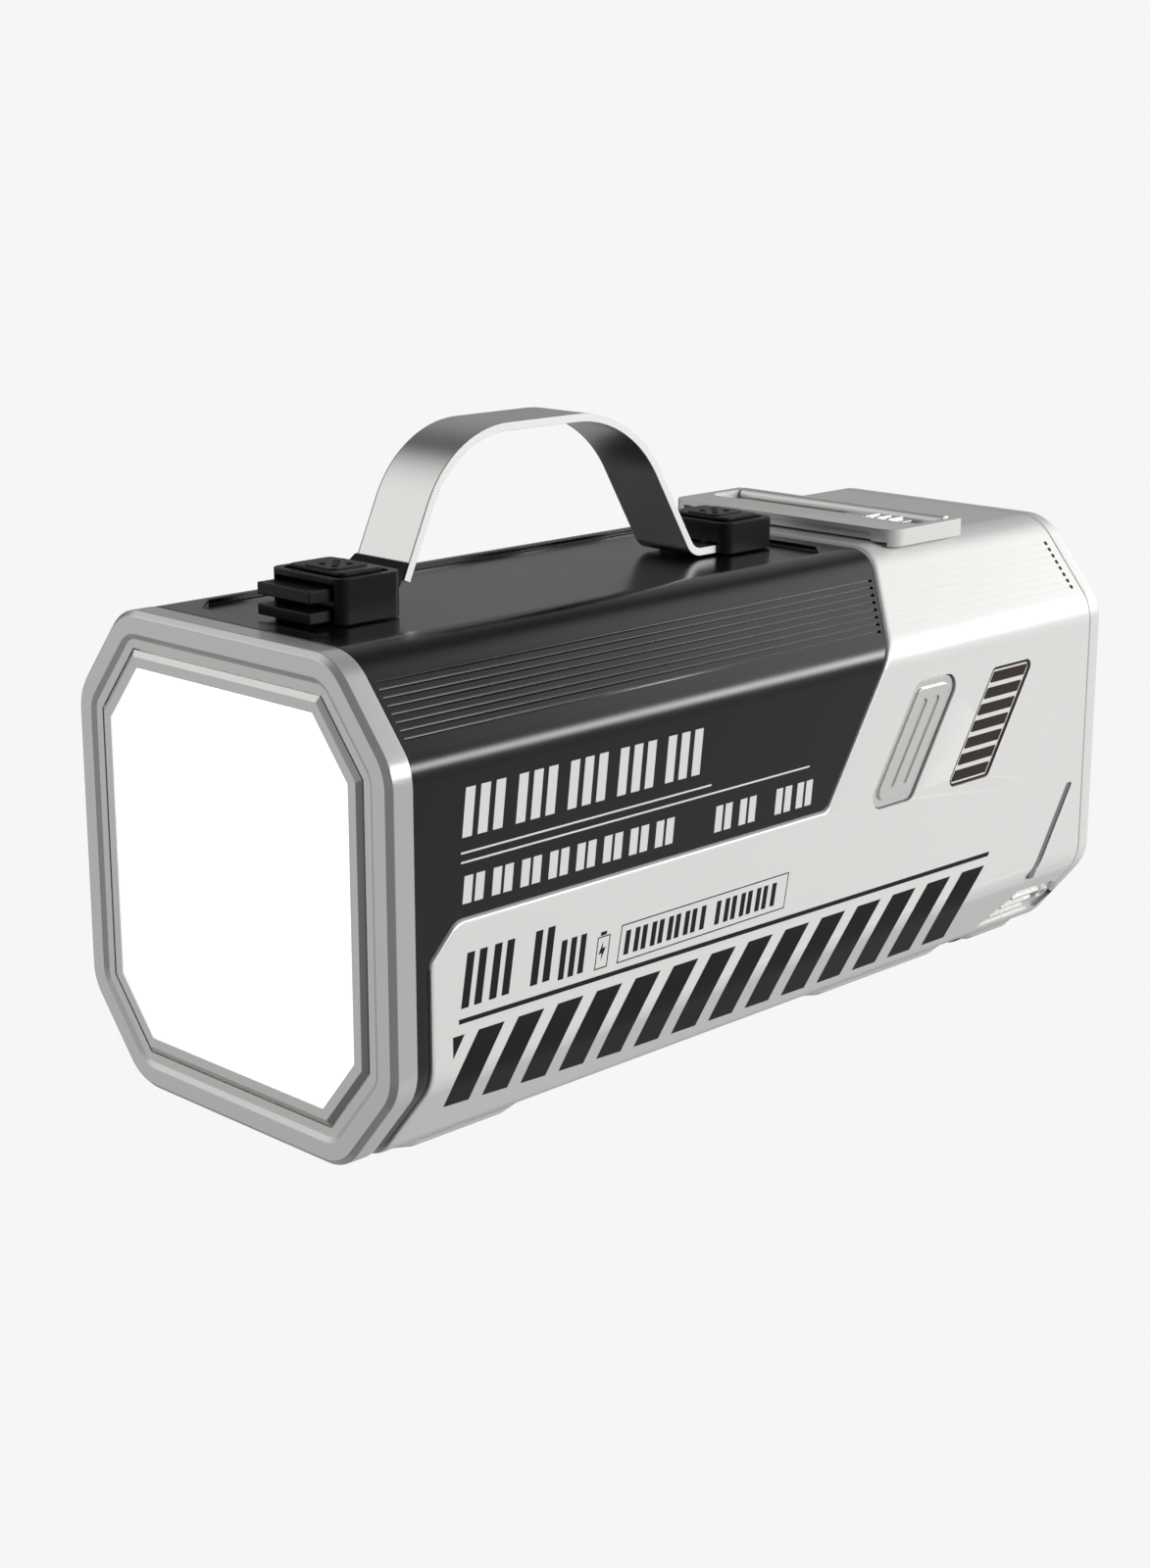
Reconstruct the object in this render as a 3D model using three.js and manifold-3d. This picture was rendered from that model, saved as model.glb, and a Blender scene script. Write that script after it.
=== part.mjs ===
// Handheld lamp power station: octagonal body, silver outer shell, arched strap handle, flip-up lid.
//
// Body frame while modelling, in millimetres: x across (0 in the middle), y from the lamp face (0)
// to the back, z up from half height (0). The last group moves that frame so that the middle of
// the footprint, at the soles of the feet, is the origin.
import * as THREE from 'three';
import { mergeVertices } from 'three/addons/utils/BufferGeometryUtils.js';
import Module from 'manifold-3d';

const wasm = await Module();
wasm.setup();

// ---------------------------------------------------------------- driving dimensions
const LENGTH = 201.4;
const HALF_WIDTH = 43.15;
const BEZEL_HALF_HEIGHT = 45.0;
const SHELL_HALF_HEIGHT = 45.5;
const FOOT_DROP = 0.8;
const CHAMFER_WIDTH = 14.0;
const CHAMFER_HEIGHT = 17.0;
const CORNER_RADIUS = 10.0;
const SHARP = 0.12;
const GAP = 0.3;

const BEYOND = 60; // past the outside of every piece, for cutters that run right through

const BEZEL_DEPTH = 5.2;
const REAR_SEAM = 197.2;
const SPIGOT = { outer: 3.3, inner: 5.2, rear: 9.0 };
const WINDOW = { inset: 10.2, frameInset: 7.2 };
const LAMP_INSET = 6.6;

const SLEEVE_INSET = 0.55;
const SLEEVE_INNER_INSET = 2.9;
const SHELL_WALL = 1.15;
const SLEEVE = { front: BEZEL_DEPTH + GAP, rear: REAR_SEAM - GAP, halfHeight: 45.6 };

const SLANT = 0.646;
const SHELL_FRONT = 8.5;
const SHELL_WAIST = -0.3;
const SHELL_BEND = 110.9;

const PANEL_DEPTH = 1.0;
const PANEL_Z = SLEEVE.halfHeight - SLEEVE_INSET - PANEL_DEPTH;
const RECESS = { halfWidth: 23.4, front: 10.0, rear: 135.9, nip: 5.5 };
const GROOVES = { count: 8, pitch: 1.58, width: 0.4, firstX: 32.2, front: 7.0, rearMargin: 1.2 };

const FOOT = {
  halfWidth: 6,
  halfLength: 9,
  corner: 3,
  top: -45.5,
  bossHalfWidth: 27.5,
  bossBottom: -46.1,
  bossTop: -45.0,
  bosses: [[10, 37], [127, 171], [173, 195]],
};
const footCentres = [-20, 20].flatMap((x) => [24, 183].map((y) => [x, y]));
const VENT = { count: 3, pitch: 2.6, width: 1.3, depth: 1.2, outerX: 38.2, middleY: 187.5, length: 13 };
const REAR_SCREW = {
  head: 2.6, shank: 1.4, seat: 3.0, hole: 1.8, boss: 4.2, thread: 1.7, slotHalf: 0.3, slotReach: 1.5,
};
const rearScrewCentres = [-27, 27].flatMap((x) => [-29, 29].map((z) => [x, z]));

const POST = {
  halfWidth: 9.7,
  length: 14.7,
  corner: 2.3,
  rim: 1.6,
  frontY: 18.7,
  rearY: 118.1,
  top: 52.4,
  rearTop: 50.6,
  wayHalfWidth: 8.0,
};
const TAB = {
  halfWidth: 7.1,
  front: 14.0,
  rear: 21.4,
  upper: [48.5, 50.7],
  lower: [44.9, 46.9],
  grip: { start: 1.2, pitch: 1.1, width: 0.5, depth: 0.4 },
};
const CLIP = { tongueHalf: 7.1, collarHalf: 6.8, front: 21.8, rear: 36.3, bottom: 48.8, top: 53.0 };
const STRAP = { halfWidth: 7.1, thickness: 1.5, crest: 74.7, tailZ: 45.35 };
const PIN = { y: POST.rearY + 5, radius: 1.2, hole: 1.5 };

const LID = {
  halfWidth: 30.3, front: 145.2, rear: 167.4, top: 48.5, bottom: 45.85, cheekBottom: 45.05, corner: 3.7,
};
const TRAY = { halfWidth: 27.9, front: 155.0, rear: 163.9, floor: 46.9, corner: 2.5 };
const NOTCH = { left: -26.5, right: 24.5, lip: 0.95 };
const LATCH = {
  tip: 5.0, neck: 10.5, end: 22.0, centreY: 159.6, half: 2.9, ribs: [12.5, 15.5, 18.5], ribWidth: 1.1,
};
const ROD = { y: 165.9, z: 47.4, radius: 1.5, journal: 0.7, halfLength: 27.6 };
const BAY = { halfWidth: 24.5, front: 149.5, rear: 162.5, faceZ: 45.2 };
const SOCKET_Y = (BAY.front + BAY.rear) / 2;
const SOCKETS = [
  { name: 'usb_a_socket_1', x: -15.5, halfWidth: 6.6, halfDepth: 2.9, depth: 13, tongue: 0.9 },
  { name: 'usb_a_socket_2', x: 1.0, halfWidth: 6.6, halfDepth: 2.9, depth: 13, tongue: 0.9 },
  { name: 'usb_c_socket', x: 16.5, halfWidth: 4.5, halfDepth: 1.6, depth: 8, tongue: 0.35 },
];

const BUTTON = { centreY: 137.6, centreZ: 8.9, width: 14.0, height: 23.4, corner: 2.4 };
const METER = { centreY: 162.8, centreZ: 8.4, width: 13.7, height: 22.6, corner: 1.2, bars: 7 };
const FLANGE = { reach: 1.1, back: 40.9, front: 41.7 };
const POCKET_DEPTH_X = 30;

const CELL = { radius: 10.6, length: 70.0, frontY: 27.5, pitch: 21.7 };
const BANK_STEP = CELL.length + 3;
const ROW_Z = [-28.6, -9.6];
const cellSpots = [
  [-CELL.pitch, ROW_Z[0]], [0, ROW_Z[0]], [CELL.pitch, ROW_Z[0]],
  [-CELL.pitch / 2, ROW_Z[1]], [CELL.pitch / 2, ROW_Z[1]],
];
const HOLDER = { offsets: [4, 60, 77, 133], thickness: 6 };

// ---------------------------------------------------------------- materials
const paint = (name, color, roughness, metalness) => {
  const material = new THREE.MeshStandardMaterial({ color, roughness, metalness });
  material.name = name;
  return material;
};

const silver = () => paint('silver', 0xc9c9c6, 0.3, 0.9);
const bezelSilver = () => paint('bezel_silver', 0xb6b6b1, 0.35, 0.9);
const black = () => paint('black_coat', 0x202020, 0.4, 0.3);
const plastic = () => paint('black_plastic', 0x151515, 0.45, 0);
const steel = () => paint('strap_steel', 0xbdbcb8, 0.28, 1);
const glow = () => paint('diffuser_white', 0xfdfdfd, 0.5, 0);
const rubber = () => paint('rubber', 0x1a1a1a, 0.9, 0);
const board = () => paint('board_green', 0x1f5a3a, 0.6, 0);
const wrap = () => paint('cell_wrap', 0x2f6f9f, 0.5, 0);
const nickel = () => paint('nickel', 0xc8c8c0, 0.35, 1);
const frameWhite = () => paint('inner_plastic', 0xe8e8e4, 0.6, 0);

// ---------------------------------------------------------------- outlines
const vec = (a, b) => new THREE.Vector2(a, b);

/** Rounds the corners of an outline. An open outline keeps its two ends as they are. */
function fillet(points, radius, steps = 4, closed = true) {
  const rounded = [];
  const count = points.length;
  points.forEach((corner, i) => {
    const isEnd = !closed && (i === 0 || i === count - 1);
    const r = Array.isArray(radius) ? radius[i] : radius;
    if (isEnd || r === 0) {
      rounded.push(corner.clone());
      return;
    }
    const back = points[(i + count - 1) % count].clone().sub(corner).normalize();
    const ahead = points[(i + 1) % count].clone().sub(corner).normalize();
    const half = Math.acos(THREE.MathUtils.clamp(back.dot(ahead), -1, 1)) / 2;
    const centre = back.clone().add(ahead).normalize().multiplyScalar(r / Math.sin(half)).add(corner);
    const start = back.clone().multiplyScalar(r / Math.tan(half)).add(corner).sub(centre);
    const end = ahead.clone().multiplyScalar(r / Math.tan(half)).add(corner).sub(centre);
    const sweep = Math.atan2(start.x * end.y - start.y * end.x, start.dot(end));
    for (let k = 0; k <= steps; k += 1) {
      rounded.push(start.clone().rotateAround(vec(0, 0), (sweep * k) / steps).add(centre));
    }
  });
  return rounded;
}

const chamferAngle = Math.atan2(CHAMFER_WIDTH, CHAMFER_HEIGHT);
const chamferNormal = vec(Math.cos(chamferAngle), Math.sin(chamferAngle));
const chamferDistance = chamferNormal.dot(vec(HALF_WIDTH, BEZEL_HALF_HEIGHT - CHAMFER_HEIGHT));

/** The eight-sided section, moved in by inset on every side, with its corners rounded. */
function section(inset, halfHeight = BEZEL_HALF_HEIGHT, radius = CORNER_RADIUS) {
  const side = HALF_WIDTH - inset;
  const top = halfHeight - inset;
  const slope = chamferDistance - inset;
  const sideZ = (slope - side * chamferNormal.x) / chamferNormal.y;
  const topX = (slope - top * chamferNormal.y) / chamferNormal.x;
  const corners = [
    vec(side, -sideZ), vec(side, sideZ), vec(topX, top), vec(-topX, top),
    vec(-side, sideZ), vec(-side, -sideZ), vec(-topX, -top), vec(topX, -top),
  ];
  return fillet(corners, Math.max(SHARP, radius - inset));
}

/** A leaning four-sided outline in the side view, with its lean equal to the shell's edge. */
function leaningOutline({ centreY, centreZ, width, height }, inset = 0, corner = 0) {
  const halfWidth = width / 2 - inset * Math.hypot(1, SLANT);
  const halfHeight = height / 2 - inset;
  const point = (side, level) => vec(
    centreY + side * halfWidth + level * halfHeight * SLANT,
    centreZ + level * halfHeight,
  );
  const corners = [point(-1, -1), point(1, -1), point(1, 1), point(-1, 1)];
  return corner > 0 ? fillet(corners, corner) : corners;
}

const rectangle = (a0, a1, b0, b1) => [vec(a0, b0), vec(a1, b0), vec(a1, b1), vec(a0, b1)];

// ---------------------------------------------------------------- solids
const AXIS_X = new THREE.Vector3(1, 0, 0);
const AXIS_Y = new THREE.Vector3(0, 1, 0);
const AXIS_Z = new THREE.Vector3(0, 0, 1);

function prism(points, depth, holes = []) {
  const shape = new THREE.Shape(points);
  shape.holes = holes.map((hole) => new THREE.Path(hole));
  return new THREE.ExtrudeGeometry(shape, { depth, bevelEnabled: false });
}

/** Outline in (x, z), pushed along y. */
function prismY(points, y0, y1, holes = []) {
  return prism(points, y1 - y0, holes).rotateX(Math.PI / 2).translate(0, y1, 0);
}

/** Outline in (y, z), pushed along x. */
function prismX(points, x0, x1, holes = []) {
  const turn = new THREE.Matrix4().makeBasis(AXIS_Y, AXIS_Z, AXIS_X);
  return prism(points, x1 - x0, holes).applyMatrix4(turn).translate(x0, 0, 0);
}

/** Outline in (x, y), pushed along z. */
function prismZ(points, z0, z1, holes = []) {
  return prism(points, z1 - z0, holes).translate(0, 0, z0);
}

function box(x0, x1, y0, y1, z0, z1) {
  const geometry = new THREE.BoxGeometry(x1 - x0, y1 - y0, z1 - z0);
  return geometry.translate((x0 + x1) / 2, (y0 + y1) / 2, (z0 + z1) / 2);
}

function cylinderY(radius, y0, y1, x, z, sides = 20) {
  const geometry = new THREE.CylinderGeometry(radius, radius, y1 - y0, sides);
  return geometry.translate(x, (y0 + y1) / 2, z);
}

function cylinderX(radius, x0, x1, y, z, sides = 20) {
  const geometry = new THREE.CylinderGeometry(radius, radius, x1 - x0, sides).rotateZ(Math.PI / 2);
  return geometry.translate((x0 + x1) / 2, y, z);
}

function cylinderZ(radius, z0, z1, x, y, sides = 20) {
  const geometry = new THREE.CylinderGeometry(radius, radius, z1 - z0, sides).rotateX(Math.PI / 2);
  return geometry.translate(x, y, (z0 + z1) / 2);
}

/** Joins rings of equal point count, in order. A closed loft comes back to its first ring. */
function loft(rings, closed) {
  const count = rings[0].length;
  const vertices = rings.flat().flatMap((p) => [p.x, p.y, p.z]);
  const faces = [];
  const last = closed ? rings.length : rings.length - 1;
  for (let i = 0; i < last; i += 1) {
    const a = i * count;
    const b = ((i + 1) % rings.length) * count;
    for (let k = 0; k < count; k += 1) {
      const next = (k + 1) % count;
      faces.push(a + k, a + next, b + next, a + k, b + next, b + k);
    }
  }
  if (!closed) {
    const end = (rings.length - 1) * count;
    for (let k = 1; k < count - 1; k += 1) {
      faces.push(0, k + 1, k, end, end + k, end + k + 1);
    }
  }
  const geometry = new THREE.BufferGeometry();
  geometry.setAttribute('position', new THREE.Float32BufferAttribute(vertices, 3));
  geometry.setIndex(faces);
  return geometry;
}

/** Turns the faces round when a loft was listed in the order that makes them point inwards. */
function facingOut(geometry) {
  const { index, attributes: { position } } = geometry;
  const corner = (k) => new THREE.Vector3().fromBufferAttribute(position, index.getX(k));
  let volume = 0;
  for (let k = 0; k < index.count; k += 3) {
    volume += corner(k).dot(corner(k + 1).cross(corner(k + 2)));
  }
  if (volume < 0) {
    index.array.reverse();
  }
  return geometry;
}

/** Rings of the body section. Each station is [y, inset, corner radius]. */
function sectionLoft(stations, halfHeight, closed) {
  const rings = stations.map(([y, inset, radius]) =>
    section(inset, halfHeight, radius + inset).map((p) => new THREE.Vector3(p.x, y, p.y)));
  return facingOut(loft(rings, closed));
}

/** A tube with the body's section. */
function sectionTube(y0, y1, outerInset, innerInset, halfHeight) {
  const hole = section(innerInset, halfHeight);
  return prismY(section(outerInset, halfHeight), y0, y1, [hole]);
}

function solidOf(geometry) {
  const plain = geometry.clone();
  plain.deleteAttribute('normal');
  plain.deleteAttribute('uv');
  const merged = mergeVertices(plain, 1e-4);
  const vertProperties = new Float32Array(merged.attributes.position.array);
  const triVerts = new Uint32Array(merged.index.array);
  return new wasm.Manifold(new wasm.Mesh({ numProp: 3, vertProperties, triVerts }));
}

function geometryOf(solid) {
  const { vertProperties, triVerts } = solid.getMesh();
  const geometry = new THREE.BufferGeometry();
  geometry.setAttribute('position', new THREE.Float32BufferAttribute(vertProperties, 3));
  geometry.setIndex(new THREE.Uint32BufferAttribute(triVerts, 1));
  return geometry;
}

const joined = (...pieces) => geometryOf(pieces.map(solidOf).reduce((sum, piece) => sum.add(piece)));
const cut = (base, ...tools) =>
  geometryOf(tools.map(solidOf).reduce((rest, tool) => rest.subtract(tool), solidOf(base)));
const common = (a, b) => geometryOf(solidOf(a).intersect(solidOf(b)));

// ---------------------------------------------------------------- assembly
const body = new THREE.Group();
body.position.set(0, -LENGTH / 2, SHELL_HALF_HEIGHT + FOOT_DROP);

function place(name, geometry, material, [x, y, z] = [0, 0, 0]) {
  const mesh = new THREE.Mesh(geometry, material);
  mesh.name = name;
  mesh.position.set(x, y, z);
  body.add(mesh);
  return mesh;
}

// ---------------------------------------------------------------- lamp end
function frontBezel() {
  const bevel = 1.0;
  const lipInset = 6.9;
  const ledge = { front: 4.9, back: 6.1, inset: 9.0 };
  return sectionLoft([
    [BEZEL_DEPTH, 0, 10],
    [bevel, 0, 10],
    [0, bevel, 9],
    [0, 4.1, 6],
    [0.6, 5.2, 3],
    [0.6, lipInset, SHARP],
    [ledge.front, lipInset, SHARP],
    [ledge.front, ledge.inset, SHARP],
    [ledge.back, ledge.inset, SHARP],
    [ledge.back, SPIGOT.inner, 4],
    [SPIGOT.rear, SPIGOT.inner, 4],
    [SPIGOT.rear, SPIGOT.outer, 6],
    [BEZEL_DEPTH, SPIGOT.outer, 6],
  ], BEZEL_HALF_HEIGHT, true);
}

function lensRetainer() {
  const back = 2.6;
  return sectionLoft([
    [back, WINDOW.frameInset, SHARP],
    [0.6, WINDOW.frameInset, SHARP],
    [0, 8.3, SHARP],
    [0, WINDOW.inset, SHARP],
    [back, WINDOW.inset, SHARP],
  ], BEZEL_HALF_HEIGHT, true);
}

function diffuserPanel() {
  const boss = WINDOW.inset + GAP;
  const flangeFront = 2.9;
  return sectionLoft([
    [4.6, WINDOW.frameInset, SHARP],
    [flangeFront, WINDOW.frameInset, SHARP],
    [flangeFront, boss, SHARP],
    [0.1, boss, SHARP],
  ], BEZEL_HALF_HEIGHT, false);
}

function lightReflector() {
  const mouth = 6.4;
  const throat = 11.8;
  return sectionLoft([
    [mouth, LAMP_INSET, SHARP],
    [mouth, 8.0, SHARP],
    [throat, 15.2, SHARP],
    [throat, 13.2, SHARP],
  ], BEZEL_HALF_HEIGHT, true);
}

/** Lamp board with its grid of light-emitting chips standing on the front face. */
function ledBoard() {
  const face = 13.0;
  const thickness = 1.2;
  const pitch = 14.0;
  const chip = { half: 1.7, front: face - 0.8, back: face + 0.5 };
  const steps = [-1.5, -0.5, 0.5, 1.5].map((step) => step * pitch);
  const plate = prismY(section(LAMP_INSET, BEZEL_HALF_HEIGHT), face, face + thickness);
  const chips = steps.flatMap((x) => steps.map((z) =>
    box(x - chip.half, x + chip.half, chip.front, chip.back, z - chip.half, z + chip.half)));
  return joined(plate, ...chips);
}

function heatSpreader() {
  const face = 14.5;
  const thickness = 1.8;
  const rib = { half: 1, halfHeight: 26, depth: 7, pitch: 12 };
  const ribs = [-2, -1, 0, 1, 2].map((step) => {
    const x = step * rib.pitch;
    return box(x - rib.half, x + rib.half, face + 1, face + rib.depth, -rib.halfHeight, rib.halfHeight);
  });
  return joined(prismY(section(LAMP_INSET, BEZEL_HALF_HEIGHT), face, face + thickness), ...ribs);
}

/** Flat ring between the bezel's spigot and the lamp's reflector. */
function frontGasket() {
  const front = SPIGOT.rear + GAP;
  return sectionTube(front, front + 0.8, SPIGOT.outer, SPIGOT.inner, BEZEL_HALF_HEIGHT);
}

place('front_bezel', frontBezel(), bezelSilver());
place('lens_retainer', lensRetainer(), bezelSilver());
place('diffuser_panel', diffuserPanel(), glow());
place('light_reflector', lightReflector(), frameWhite());
place('led_board', ledBoard(), board());
place('led_heat_spreader', heatSpreader(), nickel());
place('front_gasket', frontGasket(), rubber());

// ---------------------------------------------------------------- body shells
const shellEdgeY = (z) => SHELL_BEND + (z - SHELL_WAIST) * SLANT;

/** Side view of everything the silver shell covers, grown outward by grow. */
function shellOutline(grow = 0) {
  const top = SHELL_HALF_HEIGHT + 3;
  const waist = SHELL_WAIST + grow;
  const front = SHELL_FRONT - grow;
  const nip = { length: 7.6, height: 7.4 };
  const bendY = SHELL_BEND - grow * Math.hypot(1, SLANT) + grow * SLANT;
  const corners = [
    vec(front, -top),
    vec(front, waist - nip.height),
    vec(front + nip.length, waist),
    vec(bendY, waist),
    vec(bendY + (top - waist) * SLANT, top),
    vec(LENGTH, top),
    vec(LENGTH, -top),
  ];
  return fillet(corners, [0, 2.6, 2.6, 3.5, 0, 0, 0], 3);
}

/** Thin grooves along the upper chamfer, as cutters, for one side (+1 or -1). */
function chamferGrooves(sideSign) {
  const { count, pitch, width, firstX, front, rearMargin } = GROOVES;
  const surface = chamferDistance - SLEEVE_INSET;
  const grooves = [];
  for (let k = 0; k < count; k += 1) {
    const x = firstX + k * pitch * chamferNormal.y;
    const z = (surface - x * chamferNormal.x) / chamferNormal.y;
    const end = shellEdgeY(z) - rearMargin;
    const groove = new THREE.BoxGeometry(width, end - front, width * 2);
    groove.rotateY(chamferAngle + Math.PI / 2);
    groove.translate(x, (end + front) / 2, z);
    if (sideSign < 0) {
      groove.rotateZ(Math.PI).translate(0, end + front, 0);
    }
    grooves.push(groove);
  }
  return grooves;
}

/** Plan of the sunk panel between the two posts: a rectangle with nipped corners. */
function recessOutline() {
  const { halfWidth, front, rear, nip } = RECESS;
  return [
    vec(-halfWidth, front + nip),
    vec(-halfWidth + nip, front),
    vec(halfWidth - nip, front),
    vec(halfWidth, front + nip),
    vec(halfWidth, rear - nip),
    vec(halfWidth - nip, rear),
    vec(-halfWidth + nip, rear),
    vec(-halfWidth, rear - nip),
  ];
}

/** A pocket in the near side wall for a leaning insert, wider than the insert by grow. */
const sidePocket = (insert, grow) =>
  prismX(leaningOutline(insert, -grow, insert.corner + grow), POCKET_DEPTH_X, BEYOND);

/** The opening under the lid. */
const bayHole = () =>
  box(-BAY.halfWidth, BAY.halfWidth, BAY.front, BAY.rear, BAY.faceZ - 5, BAY.faceZ + 2);

/** The black octagonal tube. It steps in under the silver shell, and its top is sunk for the handle. */
function bodySleeve() {
  const { front, rear, halfHeight } = SLEEVE;
  const core = sectionTube(front, rear, SHELL_WALL + GAP, SLEEVE_INNER_INSET, SHELL_HALF_HEIGHT);
  const skin = sectionTube(front, rear, SLEEVE_INSET, SHELL_WALL + 0.8, halfHeight);
  const covered = prismX(shellOutline(GAP), -BEYOND, BEYOND);
  const flangeRoom = FLANGE.reach + GAP + 0.1;
  return cut(
    joined(core, cut(skin, covered)),
    prismZ(recessOutline(), PANEL_Z, BEYOND),
    ...chamferGrooves(1),
    ...chamferGrooves(-1),
    bayHole(),
    sidePocket(BUTTON, flangeRoom),
    sidePocket(METER, flangeRoom),
  );
}

function footOutline(cx, cy, grow) {
  const halfWidth = FOOT.halfWidth + grow;
  const halfLength = FOOT.halfLength + grow;
  const outline = rectangle(cx - halfWidth, cx + halfWidth, cy - halfLength, cy + halfLength);
  return fillet(outline, FOOT.corner + grow);
}

/** Cutters for the three slots in each lower rear corner. */
function cornerSlots() {
  const { count, pitch, width, depth, outerX, middleY, length } = VENT;
  const slots = [];
  for (const sideSign of [-1, 1]) {
    for (let k = 0; k < count; k += 1) {
      const x = outerX - k * pitch;
      const z = -(chamferDistance - x * chamferNormal.x) / chamferNormal.y;
      const y = middleY - k * 0.75;
      const slot = new THREE.BoxGeometry(width, length + k * 1.5, depth);
      slot.rotateY(-chamferAngle - Math.PI / 2).translate(x, y, z);
      if (sideSign < 0) {
        slot.rotateZ(Math.PI).translate(0, 2 * y, 0);
      }
      slots.push(slot);
    }
  }
  return slots;
}

/** Two low saddles on the shell's top that carry the hinge rod. */
function rodSaddles() {
  const saddle = { x: 19.5, half: 1.5, halfLength: 1.7 };
  const [y0, y1] = [ROD.y - saddle.halfLength, ROD.y + saddle.halfLength];
  return [-saddle.x, saddle.x].map((x) => cut(
    box(x - saddle.half, x + saddle.half, y0, y1, SHELL_HALF_HEIGHT - 0.5, ROD.z - 0.2),
    cylinderX(ROD.radius + GAP, x - 2, x + 2, ROD.y, ROD.z),
  ));
}

/** The leaning groove near the back of the near side. */
function diagonalGroove() {
  const outline = [vec(193.6, -9.9), vec(191.6, -9.9), vec(179.2, -28.6), vec(181.2, -28.6)];
  return prismX(fillet(outline, 0.5, 2), HALF_WIDTH - 0.6, BEYOND);
}

/** The silver shell: the whole rear of the body and a low cradle that runs forward under the sleeve. */
function outerShell() {
  const wall = sectionTube(SHELL_FRONT - 5, REAR_SEAM - GAP, 0, SHELL_WALL, SHELL_HALF_HEIGHT);
  const skin = common(wall, prismX(shellOutline(), -BEYOND, BEYOND));
  const bosses = FOOT.bosses.map(([y0, y1]) => box(
    -FOOT.bossHalfWidth, FOOT.bossHalfWidth, y0, y1, FOOT.bossBottom, FOOT.bossTop,
  ));
  const padSeats = footCentres.map(([x, y]) =>
    prismZ(footOutline(x, y, GAP), -BEYOND, FOOT.top + GAP));
  return cut(
    joined(skin, ...bosses, ...rodSaddles()),
    ...padSeats,
    ...cornerSlots(),
    bayHole(),
    sidePocket(BUTTON, GAP),
    sidePocket(METER, GAP),
    diagonalGroove(),
  );
}

/** Rounded end cap with a sunk middle and four screw seats. */
function rearCover() {
  const wall = 2.4;
  const fieldInset = 6.0;
  const cap = sectionLoft([
    [REAR_SEAM, 0, 10],
    [LENGTH - 1.5, 0, 10],
    [LENGTH - 0.45, 0.45, 10],
    [LENGTH, 1.5, 10],
  ], SHELL_HALF_HEIGHT, false);
  const field = prismY(section(fieldInset, SHELL_HALF_HEIGHT), LENGTH - 0.8, LENGTH + 1);
  const inside = prismY(section(wall, SHELL_HALF_HEIGHT), REAR_SEAM - 1, LENGTH - wall);
  const seats = rearScrewCentres.flatMap(([x, z]) => [
    cylinderY(REAR_SCREW.seat, LENGTH - 2.2, LENGTH + 1, x, z),
    cylinderY(REAR_SCREW.hole, REAR_SEAM - 1, LENGTH, x, z),
  ]);
  const bosses = rearScrewCentres.map(([x, z]) =>
    cylinderY(REAR_SCREW.boss, REAR_SEAM, LENGTH - 2, x, z));
  return cut(joined(cut(cap, field, inside), ...bosses), ...seats);
}

/** Countersunk screw with a cross slot, head towards the back. */
function rearScrew() {
  const { shank, head, slotHalf, slotReach } = REAR_SCREW;
  const headTop = LENGTH - 0.9;
  const slotFloor = headTop - 0.5;
  return cut(
    joined(
      cylinderY(shank, REAR_SEAM - 6, headTop - 0.9, 0, 0, 14),
      cylinderY(head, headTop - 1.0, headTop, 0, 0),
    ),
    box(-slotReach, slotReach, slotFloor, headTop + 1, -slotHalf, slotHalf),
    box(-slotHalf, slotHalf, slotFloor, headTop + 1, -slotReach, slotReach),
  );
}

/** Ring inside the sleeve's back end, with a lug behind each screw. */
function rearFrame() {
  const [y0, y1] = [REAR_SEAM - 6, REAR_SEAM - GAP];
  const lug = { reach: 9, halfHeight: 4, inset: 3.4 };
  const ring = sectionTube(y0, y1, SLEEVE_INNER_INSET + GAP, 6, SHELL_HALF_HEIGHT);
  const within = prismY(section(lug.inset, SHELL_HALF_HEIGHT), y0 - 1, y1 + 1);
  const lugs = rearScrewCentres.map(([x, z]) => {
    const outer = x + Math.sign(x) * lug.reach;
    const blank = box(
      Math.min(x, outer), Math.max(x, outer), y0, y1, z - lug.halfHeight, z + lug.halfHeight,
    );
    return common(blank, within);
  });
  const holes = rearScrewCentres.map(([x, z]) => cylinderY(REAR_SCREW.thread, y0 - 2, y1 + 2, x, z));
  return cut(joined(ring, ...lugs), ...holes);
}

function footPad([x, y]) {
  return prismZ(footOutline(x, y, 0), -SHELL_HALF_HEIGHT - FOOT_DROP, FOOT.top);
}

place('body_sleeve', bodySleeve(), black());
place('outer_shell', outerShell(), silver());
place('rear_cover', rearCover(), silver());
place('rear_frame', rearFrame(), frameWhite());
rearScrewCentres.forEach(([x, z], i) => {
  place(`rear_screw_${i + 1}`, rearScrew(), steel(), [x, 0, z]);
});
footCentres.forEach((centre, i) => {
  place(`foot_pad_${i + 1}`, footPad(centre), rubber());
});

// ---------------------------------------------------------------- handle
/** Post with a way through it for what it holds, and a sunk top for its cap. */
function post(y0, top, ...ways) {
  const { halfWidth, length, corner, rim } = POST;
  const outline = fillet(rectangle(-halfWidth, halfWidth, y0, y0 + length), corner);
  const seat = rectangle(-halfWidth + rim, halfWidth - rim, y0 + rim, y0 + length - rim);
  return cut(
    prismZ(outline, PANEL_Z + GAP, top),
    prismZ(fillet(seat, rim), top - 0.5, top + 1),
    ...ways,
  );
}

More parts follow.
